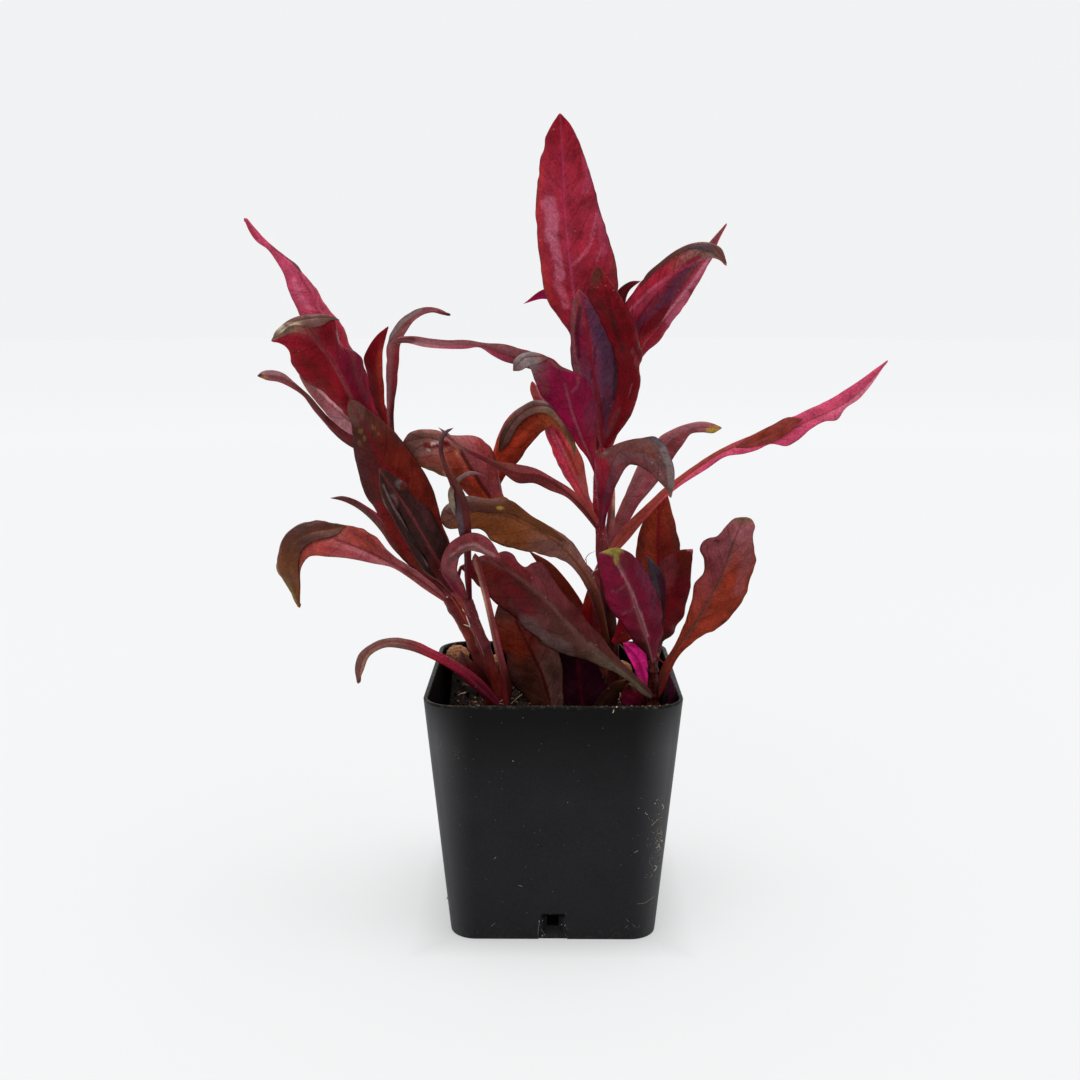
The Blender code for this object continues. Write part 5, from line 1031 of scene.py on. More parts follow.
def make_stem(node, material, seed):
    """One stem: a tube along its axis. Its radius swells by a bell shape at each node, and has
    five low ridges, cos of five times the angle, that run along it."""
    stem, rings, sides = STEMS[node], STEM_RINGS, STEM_SIDES
    t = np.linspace(0.0, 1.0, rings)
    axis = spots_at(line(stem["path"], t))
    angle = np.linspace(0.0, 2 * math.pi, sides, endpoint=False)[None]
    up = t[:, None]
    swell = sum(NODE_SWELL * np.exp(-((t - place) / NODE_REACH) ** 2) for place in stem["nodes"])
    radius = ((even(stem["radius"], t) + swell)[:, None]
              * (1.0 + RIDGES * np.cos(5 * angle + 2.0 * up + seed))
              + 0.07 * ripple(angle * 2.0, up * 60, 1.6, seed))
    dome = np.sqrt(np.clip(1.0 - np.clip((t - 0.975) / 0.025, 0.0, 0.98) ** 2, 0.0, 1.0))
    radius = radius * dome[:, None]
    ends = np.stack((axis[0], axis[-1] + 0.5 * (axis[-1] - axis[-2])))
    points = np.concatenate((tube_rings(axis, radius, sides).reshape(-1, 3), ends))
    base = ramp(stem["shades"], np.linspace(0.0, 1.0, len(stem["shades"])), t)
    tint = base[:, None] * (1.0 + 0.35 * ripple(angle * 1.7, up * 9, 1.0, seed + 1)[..., None])
    light = np.clip(ripple(angle * 1.2, up * 14, 1.0, seed + 2) - 0.2, 0, 1)[..., None]
    tint = tint * (1 - 0.35 * light) + shade("brick") * 0.35 * light
    piece = new_piece(node.replace("stem_", "stalk_"), points, *tube_faces(rings, sides),
                      [material], "stem", node, tissue=with_ends(tint))
    length = np.linalg.norm(np.diff(axis, axis=0), axis=1).sum()
    flat = np.broadcast_arrays(angle / (2 * math.pi) * 0.8, up * length / 10)
    flat = np.stack(flat, axis=-1).reshape(-1, 2)
    lay_out(piece, np.concatenate((flat, flat[:1], flat[-1:])))


def with_ends(values):
    """A tube's values ring by ring, with the first and the last ring's again for its two ends."""
    flat = values.reshape(-1, values.shape[-1])
    return np.concatenate((flat, values[0, :1], values[-1, :1]))


def strands(starts, ways, lengths, radius, bend, steps=5):
    """Many thin three-sided threads as one set of arrays. Each runs from its start along its way,
    bends by its own sideways vector times the square of the distance, and tapers to a point."""
    count = len(starts)
    s = np.linspace(0.0, 1.0, steps + 1)[:-1]
    reach = s[None, :, None] * lengths[:, None, None]
    spine = starts[:, None] + ways[:, None] * reach + bend[:, None] * (s**2)[None, :, None]
    tip = starts + ways * lengths[:, None] + bend
    along = unit(ways)
    first = unit(np.cross(along, np.array((0.31, 0.87, 0.11))))
    second = np.cross(along, first)
    angle = np.arange(3) * 2 * math.pi / 3
    around = (np.cos(angle)[None, :, None] * first[:, None]
              + np.sin(angle)[None, :, None] * second[:, None])
    width = np.asarray(radius).reshape(-1, 1) * (1.0 - 0.75 * s**2)[None]
    rings = spine[:, :, None] + around[:, None] * width[:, :, None, None]
    points = np.concatenate((rings.reshape(count, -1, 3), tip[:, None]), axis=1)
    ring = np.arange(steps * 3).reshape(steps, 3)
    turn = np.roll(ring, -1, axis=1)
    quads = between(ring, turn)
    tris = np.concatenate((np.stack((ring[-1], turn[-1], np.full(3, steps * 3)), axis=-1),
                           ring[0][::-1][None]))
    step = (np.arange(count) * (steps * 3 + 1))[:, None, None]
    return (points.reshape(-1, 3), (quads[None] + step).reshape(-1, 4),
            (tris[None] + step).reshape(-1, 3), steps * 3 + 1)


def square_ring(half, corner, height):
    """Points of a square with rounded corners, at a height."""
    angle = np.linspace(0.0, math.pi / 2, CORNER_STEPS + 1)
    x = (half - corner) + corner * np.cos(angle)
    y = (half - corner) + corner * np.sin(angle)
    turns = [(x, y), (-y, x), (-x, -y), (y, -x)]
    return np.concatenate([np.stack((a, b, np.full(len(a), height)), axis=1) for a, b in turns])


def wall_half(height):
    """Half the pot's outer width at a height."""
    return BASE_HALF + (RIM_HALF - BASE_HALF) * height / POT_HEIGHT


def wall_corner(height):
    """Radius of the pot's upright corners at a height."""
    return BASE_CORNER + (RIM_CORNER - BASE_CORNER) * height / POT_HEIGHT


def block(name, x, y, z):
    """A box given by its extents, used to shape the pot."""
    points = np.array([(a, b, c) for c in z for a, b in
                       ((x[0], y[0]), (x[1], y[0]), (x[1], y[1]), (x[0], y[1]))])
    return tool(name, points, [(0, 1, 5, 4), (1, 2, 6, 5), (2, 3, 7, 6), (3, 0, 4, 7),
                               (3, 2, 1, 0), (4, 5, 6, 7)])


def tool(name, points, faces):
    """A closed shape that only cuts or adds to another, and is taken away afterwards."""
    mesh = bpy.data.meshes.new(name)
    mesh.from_pydata((points * MM).tolist(), [], [list(face) for face in faces])
    shape = bpy.data.objects.new(name, mesh)
    bpy.context.scene.collection.objects.link(shape)
    return shape


def hollow(name, outer, shallow, inner, deep):
    """A cutting shape between two outlines behind the front wall's face, each given as half
    width and height at its foot and at its top, and as its depth behind the face."""
    points = []
    for outline, depth in ((outer, shallow), (inner, deep)):
        (low_half, low), (high_half, high) = outline
        points += [(x, depth - wall_half(z), z) for x, z in
                   ((-low_half, low), (low_half, low), (high_half, high), (-high_half, high))]
    return tool(name, np.array(points), [(0, 1, 2, 3), (7, 6, 5, 4), (4, 5, 1, 0), (5, 6, 2, 1),
                                         (6, 7, 3, 2), (7, 4, 0, 3)])


def make_pot(materials):
    """The pot: rounded-square rings carried along the wall's profile, from the middle of the
    underside out, up, over the rounded rim, down the inside and in to the middle of the floor.
    A notch with a small square hole is cut in the foot of each side."""
    round_steps = np.linspace(0.0, math.pi / 2, 5)
    foot = [(EDGE_ROUND * (1 - math.cos(a)), BASE_HALF - EDGE_ROUND * (1 - math.sin(a)))
            for a in round_steps]
    outer = [(z, wall_half(z)) for z in np.linspace(1.0, POT_HEIGHT - EDGE_ROUND, 12)]
    lip = [(POT_HEIGHT - EDGE_ROUND * (1 - math.sin(a)),
            wall_half(POT_HEIGHT) - EDGE_ROUND * (1 - math.cos(a))) for a in round_steps[1:]]
    lip += [(POT_HEIGHT - EDGE_ROUND * (1 - math.cos(a)),
             wall_half(POT_HEIGHT) - POT_WALL + EDGE_ROUND * (1 - math.sin(a)))
            for a in round_steps]
    inner = [(z, wall_half(z) - POT_WALL)
             for z in np.linspace(POT_HEIGHT - 2 * EDGE_ROUND, FLOOR_THICK + 0.5, 12)]
    floor = [(FLOOR_THICK, wall_half(FLOOR_THICK) - POT_WALL - 0.5)]
    profile = foot + outer + lip + inner + floor
    rings = np.array([square_ring(half, wall_corner(z) - (wall_half(z) - half), z)
                      for z, half in profile])
    centre = np.array(((0.0, 0.0, 0.0), (0.0, 0.0, FLOOR_THICK)))
    points = np.concatenate((rings.reshape(-1, 3), centre))
    pot = new_piece("pot_shell", points, *tube_faces(len(rings), rings.shape[1]), materials,
                    "pot", "pot")
    tools = []
    outside = wall_half(NOTCH_TOP)
    for quarter in range(4):
        boss = block(f"boss_{quarter}", (-BOSS_HALF, BOSS_HALF),
                     (-outside + POT_WALL / 2, -outside + BOSS_DEPTH), (FLOOR_THICK / 2, BOSS_TOP))
        frame_cut = hollow(f"frame_{quarter}", NOTCH_FRAME, -PAST, NOTCH_FRAME, NOTCH_STEP)
        funnel = hollow(f"funnel_{quarter}", NOTCH_INSET, NOTCH_STEP / 2, NOTCH_INNER, NOTCH_DEPTH)
        hole = block(f"hole_{quarter}", (-NOTCH_WINDOW_HALF, NOTCH_WINDOW_HALF),
                     (-outside - PAST, -outside + BOSS_DEPTH + PAST), NOTCH_WINDOW)
        for shape, operation in ((boss, "UNION"), (frame_cut, "DIFFERENCE"),
                                 (funnel, "DIFFERENCE"), (hole, "DIFFERENCE")):
            shape.rotation_euler = (0.0, 0.0, quarter * math.pi / 2)
            change = pot.modifiers.new(shape.name, "BOOLEAN")
            change.object, change.operation, change.solver = shape, operation, "EXACT"
            tools.append(shape)
    settle(pot, tools)
    pot.data.set_sharp_from_angle(angle=math.radians(28))
    edge = pot.modifiers.new("worn edges", "BEVEL")
    edge.width, edge.segments, edge.limit_method = 0.12 * MM, 2, "ANGLE"
    edge.angle_limit = math.radians(50)
    settle(pot, [])
    # Inner faces above the medium's foot take the near-black second material: painted shade inside
    # the pot.
    middle = np.empty(len(pot.data.polygons) * 3)
    pot.data.polygons.foreach_get("center", middle)
    middle = np.abs(middle.reshape(-1, 3)) / MM
    height = middle[:, 2]
    flat = wall_half(height) - wall_corner(height)
    out = flat + np.hypot(*np.clip(middle[:, :2] - flat[:, None], 0.0, None).T)
    inner = ((out < wall_half(height) - 0.6 * POT_WALL) & (height > MEDIUM_FOOT)
             & (height < POT_HEIGHT - 0.5))
    pot.data.polygons.foreach_set("material_index", inner.astype(int))


def settle(piece, tools):
    """Makes a piece's modifiers part of its mesh and takes the shapes they used away."""
    bpy.context.view_layer.update()
    seen = piece.evaluated_get(bpy.context.evaluated_depsgraph_get())
    shaped = bpy.data.meshes.new_from_object(seen)
    piece.modifiers.clear()
    piece.data = shaped
    for shape in tools:
        bpy.data.objects.remove(shape)


def medium_height(x, y):
    """Height of the medium's surface: lumpy, rising to the back, sunken in the pot's near left
    corner, and heaped up round the clay balls."""
    swells = (0.7 * np.sin(0.31 * x + 1.3) * np.cos(0.27 * y - 0.6)
              + 0.4 * np.sin(0.55 * x - 0.4 * y))
    rise = MEDIUM_BACK_RISE * np.clip((y - MEDIUM_RISE_FROM) / MEDIUM_RISE_RUN, 0.0, 1.0)
    away = (x - HOLLOW_MIDDLE[0]) ** 2 + (y - HOLLOW_MIDDLE[1]) ** 2
    height = MEDIUM_LEVEL + swells + rise - HOLLOW_DEPTH * np.exp(-away / HOLLOW_SPREAD**2)
    for place, deep, radius in CLAY_BALLS.values():
        middle = sight(np.array((place,)), np.array((deep,)))[0]
        away = (x - middle[0]) ** 2 + (y - middle[1]) ** 2
        heap = np.exp(-away / (HEAP_SPREAD * radius) ** 2)
        height = height + (middle[2] - BALL_SUNK * radius - height) * heap
    return height


def rough_height(x, y):
    """The medium's surface with crumbs and fibres: three sizes of random relief on top."""
    return (medium_height(x, y) + 0.75 * ripple(x + 200, y + 200, 2.3, SEED)
            + 0.5 * ripple(x + 200, y + 200, 0.9, SEED + 1)
            + 0.28 * ripple(x + 200, y + 200, 0.4, SEED + 2) - 0.4)


def make_medium(material):
    """The growing medium: a square grid drawn into a rounded square, at the height of
    rough_height(), with a skirt down to its foot."""
    share = np.linspace(-1.0, 1.0, MEDIUM_CELLS + 1)
    u, v = np.meshgrid(share, share, indexing="ij")
    turn = np.arctan2(v, u)
    reach = 1.0 / (np.abs(np.cos(turn)) ** 9 + np.abs(np.sin(turn)) ** 9) ** (1 / 9)
    edge, low_edge = (wall_half(z) - POT_WALL - GAP for z in (MEDIUM_EDGE_LEVEL, MEDIUM_FOOT))
    size = np.maximum(np.abs(u), np.abs(v)) * reach * edge
    x, y = size * np.cos(turn), size * np.sin(turn)
    top = np.stack((x, y, rough_height(x, y)), axis=-1)
    first = (MEDIUM_CELLS + 1) ** 2
    index = np.arange(first).reshape(MEDIUM_CELLS + 1, MEDIUM_CELLS + 1)
    quads = between(index[:, :-1], index[:, 1:])[:, (0, 3, 2, 1)]
    rim = np.concatenate((index[:-1, 0], index[-1, :-1], index[:0:-1, -1], index[0, :0:-1]))
    shrink = low_edge / edge
    foot = top.reshape(-1, 3)[rim] * (shrink, shrink, 0.0) + (0.0, 0.0, MEDIUM_FOOT)
    low = first + np.arange(len(rim))
    skirt = np.stack((np.roll(rim, -1), rim, low, np.roll(low, -1)), axis=-1)
    centre = first + len(rim)
    tris = np.stack((np.roll(low, -1), low, np.full(len(rim), centre)), axis=-1)
    points = np.concatenate((top.reshape(-1, 3), foot, ((0.0, 0.0, MEDIUM_FOOT),)))
    x, y, z = points.T
    mix = np.clip(0.5 + 0.8 * ripple(x + 99, y + 99, 1.1, SEED + 3), 0, 1)
    # Down the hollow the medium turns to dark peat: painted shade.
    mix = (mix * lit_share(z))[:, None]
    new_piece("peat", points, np.concatenate((quads, skirt)), tris, [material], "medium",
              "growing_medium",
              tissue=0.22 * shade("peat") * (1 - mix) + 0.27 * shade("earth") * mix)


def lit_share(height):
    """Painted shade: how much of its colour the medium shows, less and less down its hollow."""
    return np.clip((height - HOLLOW_SHADE_LEVEL) / (MEDIUM_LEVEL - HOLLOW_SHADE_LEVEL), 0.0, 1.0)


def twenty_sided():
    """Points and faces of an icosahedron of radius 1."""
    gold = (1 + 5**0.5) / 2
    points = np.array([(-1, gold, 0), (1, gold, 0), (-1, -gold, 0), (1, -gold, 0),
                       (0, -1, gold), (0, 1, gold), (0, -1, -gold), (0, 1, -gold),
                       (gold, 0, -1), (gold, 0, 1), (-gold, 0, -1), (-gold, 0, 1)], float)
    faces = np.array([(0, 11, 5), (0, 5, 1), (0, 1, 7), (0, 7, 10), (0, 10, 11), (1, 5, 9),
                      (5, 11, 4), (11, 10, 2), (10, 7, 6), (7, 1, 8), (3, 9, 4), (3, 4, 2),
                      (3, 2, 6), (3, 6, 8), (3, 8, 9), (4, 9, 5), (2, 4, 11), (6, 2, 10),
                      (8, 6, 7), (9, 8, 1)])
    return unit(points), faces


def lumps(draw, middles, sizes):
    """Small twenty-sided lumps, each stretched by its own amounts: their points and faces."""
    count = len(middles)
    lump, faces = twenty_sided()
    stretch = draw.uniform(0.6, 1.3, (count, 1, 3)) * draw.uniform(0.85, 1.15, (count, 12, 3))
    points = middles[:, None] + lump[None] * stretch * sizes[:, None, None]
    tris = faces[None] + 12 * np.arange(count)[:, None, None]
    return points.reshape(-1, 3), NO_QUADS, tris.reshape(-1, 3)


def make_crumbs(material):
    """Loose crumbs on the medium, coloured peat, earth, straw or clay, darker down the hollow as
    painted shade.
    """
    draw = np.random.default_rng(SEED + 4)
    x, y = draw.uniform(-24.0, 24.0, (2, CRUMBS))
    size = 0.18 + 0.55 * draw.random(CRUMBS) ** 3
    middle = np.stack((x, y, rough_height(x, y) + 0.25 * size), axis=1)
    shapes = lumps(draw, middle, size)
    kinds = drawn_shades(draw, "peat earth earth peat brown straw grey_brown", CRUMBS)
    # Painted shade: crumbs darken down the hollow.
    dim = np.maximum(lit_share(middle[:, 2]), 0.1)
    new_piece("crumbs", *shapes, [material], "medium",
              tissue=np.repeat(kinds * 0.6 * dim[:, None], 12, axis=0))


def make_fibres(material):
    """Coir fibres that lie over the medium in all directions and arch a little."""
    draw = np.random.default_rng(SEED + 5)
    count = FIBRES
    x, y = draw.uniform(-24.0, 24.0, (2, count))
    turn = draw.uniform(0, 2 * math.pi, count)
    ways = np.stack((np.cos(turn), np.sin(turn), draw.uniform(0.0, 0.5, count)), axis=1)
    lengths = draw.uniform(1.5, 6.0, count)
    feet = np.stack((x, y), axis=1)
    ends = np.clip(feet + ways[:, :2] * lengths[:, None], -25.0, 25.0)
    ways[:, :2] = (ends - feet) / lengths[:, None]
    starts = np.stack((x, y, rough_height(x, y) + 0.1), axis=1)
    fall = rough_height(ends[:, 0], ends[:, 1]) - starts[:, 2] - ways[:, 2] * lengths
    bend = np.stack((draw.normal(0, 0.5, count), draw.normal(0, 0.5, count), fall), axis=1)
    bend[:, :2] = np.clip(ends + bend[:, :2], -25.4, 25.4) - ends
    *shapes, each = strands(starts, ways, lengths, draw.uniform(0.05, 0.14, count), bend, 8)
    kinds = drawn_shades(draw, "earth brown straw root peat", count)
    new_piece("coir_fibres", *shapes, [material], "medium",
              tissue=np.repeat(kinds, each, axis=0))


def make_ball(node, material, seed):
    """A fired clay ball: a globe on rings of latitude whose radius carries random pits."""
    place, deep, radius = CLAY_BALLS[node]
    middle = sight(np.array((place,)), np.array((deep,)))[0]
    rings, sides = BALL_RINGS, BALL_SIDES
    tilt = np.linspace(0.0, math.pi, rings + 2)[1:-1, None]
    turn = np.linspace(0.0, 2 * math.pi, sides, endpoint=False)[None]
    way = np.stack((np.sin(tilt) * np.cos(turn), np.sin(tilt) * np.sin(turn),
                    np.cos(tilt) + 0 * turn), axis=-1)
    x, y = way[..., 0] * radius + 40, way[..., 1] * radius + way[..., 2] * 3.7 * radius + 40
    size = radius * (1.0 + 0.05 * ripple(x, y, 1.6, seed) + 0.03 * ripple(x, y, 0.5, seed + 1))
    cracks = np.exp(-(ripple(x, y, 1.3, seed + 2) / 0.09) ** 2)
    size = size - 0.16 * cracks
    rim = middle + way[::-1] * size[::-1, :, None]
    poles = np.stack((middle - (0, 0, radius), middle + (0, 0, radius)))
    points = np.concatenate((rim.reshape(-1, 3), poles))
    tint = (shade("clay") * (1 - 0.85 * cracks[::-1, :, None])
            * (1 + 0.3 * ripple(x, y, 0.8, seed + 3)[::-1, :, None]))
    new_piece(node.replace("clay_ball", "fired_ball"), points, *tube_faces(rings, sides),
              [material], "clay", node, tissue=with_ends(tint))



def feed(node, **inputs):
    """Links each named or numbered input of a node to a socket, or sets it to a value."""
    for name, value in inputs.items():
        socket = node.inputs[int(name[1:])] if name[0] == "i" and name[1:].isdigit() else (
            node.inputs[name.replace("_", " ")])
        if isinstance(value, bpy.types.NodeSocket):
            node.id_data.links.new(value, socket)
        else:
            socket.default_value = value


def add(tree, kind, settings=None, **inputs):
    """A node with its settings and inputs."""
    node = tree.nodes.new(kind)
    for name, value in (settings or {}).items():
        setattr(node, name, value)
    feed(node, **inputs)
    return node


def tree_of(*values):
    """The tree that the first socket among the values belongs to."""
    return next(value.id_data for value in values if isinstance(value, bpy.types.NodeSocket))


def sums(operation, first, second=0.0):
    """One step of arithmetic between two values, at least one of them a socket."""
    return add(tree_of(first, second), "ShaderNodeMath", dict(operation=operation), i0=first,
               i1=second).outputs[0]


def times(first, *others):
    """The product of several values."""
    for other in others:
        first = sums("MULTIPLY", first, other)
    return first


def mixed(share, first, second, blend="MIX"):
    """Two colours mixed by a share."""
    return add(tree_of(share, first, second), "ShaderNodeMix",
               dict(data_type="RGBA", blend_type=blend), i0=share, i6=first, i7=second).outputs[2]


def spread(value, low, high, to_low, to_high):
    """A value moved from one range into another, and held inside it."""
    return add(tree_of(value), "ShaderNodeMapRange", dict(clamp=True), Value=value, From_Min=low,
               From_Max=high, To_Min=to_low, To_Max=to_high).outputs["Result"]


def scaled(colour, factor):
    """A colour or place made larger by a factor."""
    return add(colour.id_data, "ShaderNodeVectorMath", dict(operation="SCALE"), i0=colour,
               Scale=factor).outputs[0]


def stored(tree, name):
    """The outputs of a colour that the mesh stores."""
    return add(tree, "ShaderNodeAttribute", dict(attribute_name=name)).outputs


def spot_in(tree):
    """The place on the object."""
    return add(tree, "ShaderNodeTexCoord").outputs["Object"]


def axes(place):
    """A place's three values."""
    return add(place.id_data, "ShaderNodeSeparateXYZ", Vector=place).outputs


def noise(place, scale, detail, **more):
    """Cloudy noise over a place."""
    return add(place.id_data, "ShaderNodeTexNoise", Vector=place, Scale=scale, Detail=detail,
               **more).outputs


def shared_group(name, inputs, outputs):
    """An empty node group with named inputs and outputs."""
    group = bpy.data.node_groups.new(name, "ShaderNodeTree")
    for label, kind, value in inputs:
        socket = group.interface.new_socket(label, in_out="INPUT", socket_type="NodeSocket" + kind)
        if value is not None:
            socket.default_value = value
    for label, kind in outputs:
        group.interface.new_socket(label, in_out="OUTPUT", socket_type="NodeSocket" + kind)
    given, out = (group.nodes.new("NodeGroup" + end) for end in ("Input", "Output"))
    return group, given.outputs, out


def vein_group():
    """Side veins that leave the midrib at a slant, and a fine net between them."""
    group, given, out = shared_group(
        "leaf veins", (("Vector", "Vector", None), ("Spacing", "Float", 0.7),
                       ("Slant", "Float", 0.7), ("Arch", "Float", 1.1),
                       ("Width", "Float", 0.2)),
        (("Mask", "Float"), ("Height", "Float")))
    moved = add(group, "ShaderNodeVectorMath", dict(operation="MULTIPLY_ADD"),
                i0=noise(given["Vector"], 1.5, 1.0)["Color"], i1=(0.05, 0.20, 0.0),
                i2=given["Vector"]).outputs[0]
    place = axes(moved)
    out_from_rib = sums("ABSOLUTE", place["X"])
    side = sums("SIGN", place["X"])
    steep = sums("ADD", given["Slant"], times(out_from_rib, given["Arch"]))
    slanted = sums("SUBTRACT", place["Y"], times(out_from_rib, steep))
    turns = sums("ADD", sums("DIVIDE", slanted, given["Spacing"]),
                 times(side, 0.25))
    wave = sums("ABSOLUTE", sums("SINE", times(turns, math.pi)))
    near = sums("MINIMUM", 1.0, sums("DIVIDE", wave, given["Width"]))
    side_veins = sums("SUBTRACT", 1.0, near)
    net = add(group, "ShaderNodeTexVoronoi", dict(feature="DISTANCE_TO_EDGE"),
              Vector=moved, Scale=10.0)
    fine = spread(net.outputs["Distance"], 0.0, 0.07, 0.28, 0.0)
    mask = sums("MAXIMUM", side_veins, fine)
    grain = noise(given["Vector"], 38.0, 3.0)["Fac"]
    feed(out, Mask=mask, Height=sums("SUBTRACT", times(grain, 0.6), mask))
    return group


def mottling_group():
    """Uneven colour: broad patches and a fine grain, and how light the patches are."""
    group, given, out = shared_group(
        "mottling", (("Color", "Color", (1, 1, 1, 1)), ("Vector", "Vector", None),
                     ("Patch Scale", "Float", 2.0), ("Grain Scale", "Float", 20.0),
                     ("Amount", "Float", 0.5)), (("Color", "Color"), ("Patches", "Float")))
    patches = noise(given["Vector"], given["Patch Scale"], 4.0, Roughness=0.6)["Fac"]
    grain = noise(given["Vector"], given["Grain Scale"], 3.0)["Fac"]
    both = sums("ADD", times(patches, 0.8), times(grain, 0.8))
    change = times(sums("SUBTRACT", both, 0.8), given["Amount"])
    bright = sums("ADD", 1.0, times(change, 2.2))
    feed(out, Color=scaled(given["Color"], bright), Patches=patches)
    return group


def speck_group():
    """Scattered small specks: cells whose own random value is high show a spot at their point."""
    group, given, out = shared_group(
        "specks", (("Vector", "Vector", None), ("Scale", "Float", 400.0),
                   ("Rarity", "Float", 0.85), ("Size", "Float", 0.22)), (("Mask", "Float"),))
    cells = add(group, "ShaderNodeTexVoronoi", Vector=given["Vector"], Scale=given["Scale"])
    red = add(group, "ShaderNodeSeparateColor", Color=cells.outputs["Color"]).outputs["Red"]
    chosen = sums("GREATER_THAN", red, given["Rarity"])
    near = sums("LESS_THAN", cells.outputs["Distance"], given["Size"])
    feed(out, Mask=times(chosen, near))
    return group


def use(tree, group, **inputs):
    """A shared group placed in a material."""
    return add(tree, "ShaderNodeGroup", dict(node_tree=group), **inputs).outputs


def new_material(name, roughness, specular):
    """A material whose one shader has its steady values set on its own sockets."""
    material = bpy.data.materials.new(name)
    material.use_nodes = True
    shader = material.node_tree.nodes["Principled BSDF"]
    feed(shader, Roughness=roughness, Specular_IOR_Level=specular)
    return material, material.node_tree, shader


def raised(shader, height, strength, distance):
    """Relief from a height, in metres at most distance high."""
    bump = add(shader.id_data, "ShaderNodeBump", Height=height, Strength=strength,
               Distance=distance)
    feed(shader, Normal=bump.outputs["Normal"])


def leaf_material(name, attribute, groups, vein_shade, roughness):
    """One face of a leaf: its stored colours, mottled, with a sharp midrib, side veins in colour
    and in relief, and a few pale specks."""
    veins, mottling, specks = groups
    material, tree, shader = new_material(name, roughness, LEAF_SPECULAR)
    tissue, rib = stored(tree, attribute), stored(tree, "midrib")
    broad = stored(tree, "broad")["Fac"]
    flat = add(tree, "ShaderNodeUVMap", dict(uv_map="layout")).outputs["UV"]
    spot = spot_in(tree)
    lines = use(tree, veins, Vector=flat, Spacing=0.58, Slant=0.75, Arch=1.1, Width=0.15)
    varied = use(tree, mottling, Color=tissue["Color"], Vector=spot, Patch_Scale=260.0,
                 Grain_Scale=2000.0, Amount=0.7)
    tinted = mixed(0.35, varied["Color"], rib["Color"])
    darker = mixed(1.0, tinted, vein_shade, "MULTIPLY")
    veined = mixed(times(lines["Mask"], broad, 0.4), varied["Color"], darker)
    middle = spread(sums("ABSOLUTE", axes(flat)["X"]), 0.014, 0.038, 1.0, 0.0)
    ribbed = mixed(times(middle, rib["Alpha"]), veined, rib["Color"])
    dots = use(tree, specks, Vector=spot, Scale=620.0, Rarity=0.95, Size=0.13)["Mask"]
    feed(shader, Base_Color=mixed(times(dots, 0.3), ribbed, (0.42, 0.30, 0.28, 1.0)),
         Roughness=spread(varied["Patches"], 0.35, 0.65, roughness - 0.10, roughness + 0.10),
         Coat_Weight=tissue["Alpha"], Coat_Roughness=0.28)
    raised(shader, times(lines["Height"], broad), 0.8, 0.00018)
    return material


def stem_material(mottling):
    """Stem skin: stored colours with fine lengthwise streaks."""
    material, tree, shader = new_material("stem_skin", 0.42, 0.07)
    flat = add(tree, "ShaderNodeUVMap", dict(uv_map="layout")).outputs["UV"]
    drawn = add(tree, "ShaderNodeVectorMath", dict(operation="MULTIPLY"), i0=flat,
                i1=(26.0, 3.0, 1.0)).outputs[0]
    streaks = noise(drawn, 1.0, 3.0)["Fac"]
    varied = use(tree, mottling, Color=stored(tree, "tissue")["Color"], Vector=spot_in(tree),
                 Patch_Scale=500.0, Grain_Scale=3500.0, Amount=0.6)
    light = spread(streaks, 0.5, 0.75, 0.0, 0.5)
    feed(shader, Base_Color=mixed(light, varied["Color"], (0.26, 0.05, 0.035, 1.0)))
    raised(shader, streaks, 0.4, 0.0002)
    return material


def plain_tissue_material(name, mottling, roughness, specular, patch, grain, amount, relief):
    """Earth, clay, straw or hair: stored colours, mottled, with a rough relief."""
    material, tree, shader = new_material(name, roughness, specular)
    spot = spot_in(tree)
    varied = use(tree, mottling, Color=stored(tree, "tissue")["Color"], Vector=spot,
                 Patch_Scale=patch, Grain_Scale=grain, Amount=amount)
    feed(shader, Base_Color=varied["Color"])
    if relief:
        raised(shader, noise(spot, grain, 5.0)["Fac"], 0.7, relief)
    return material


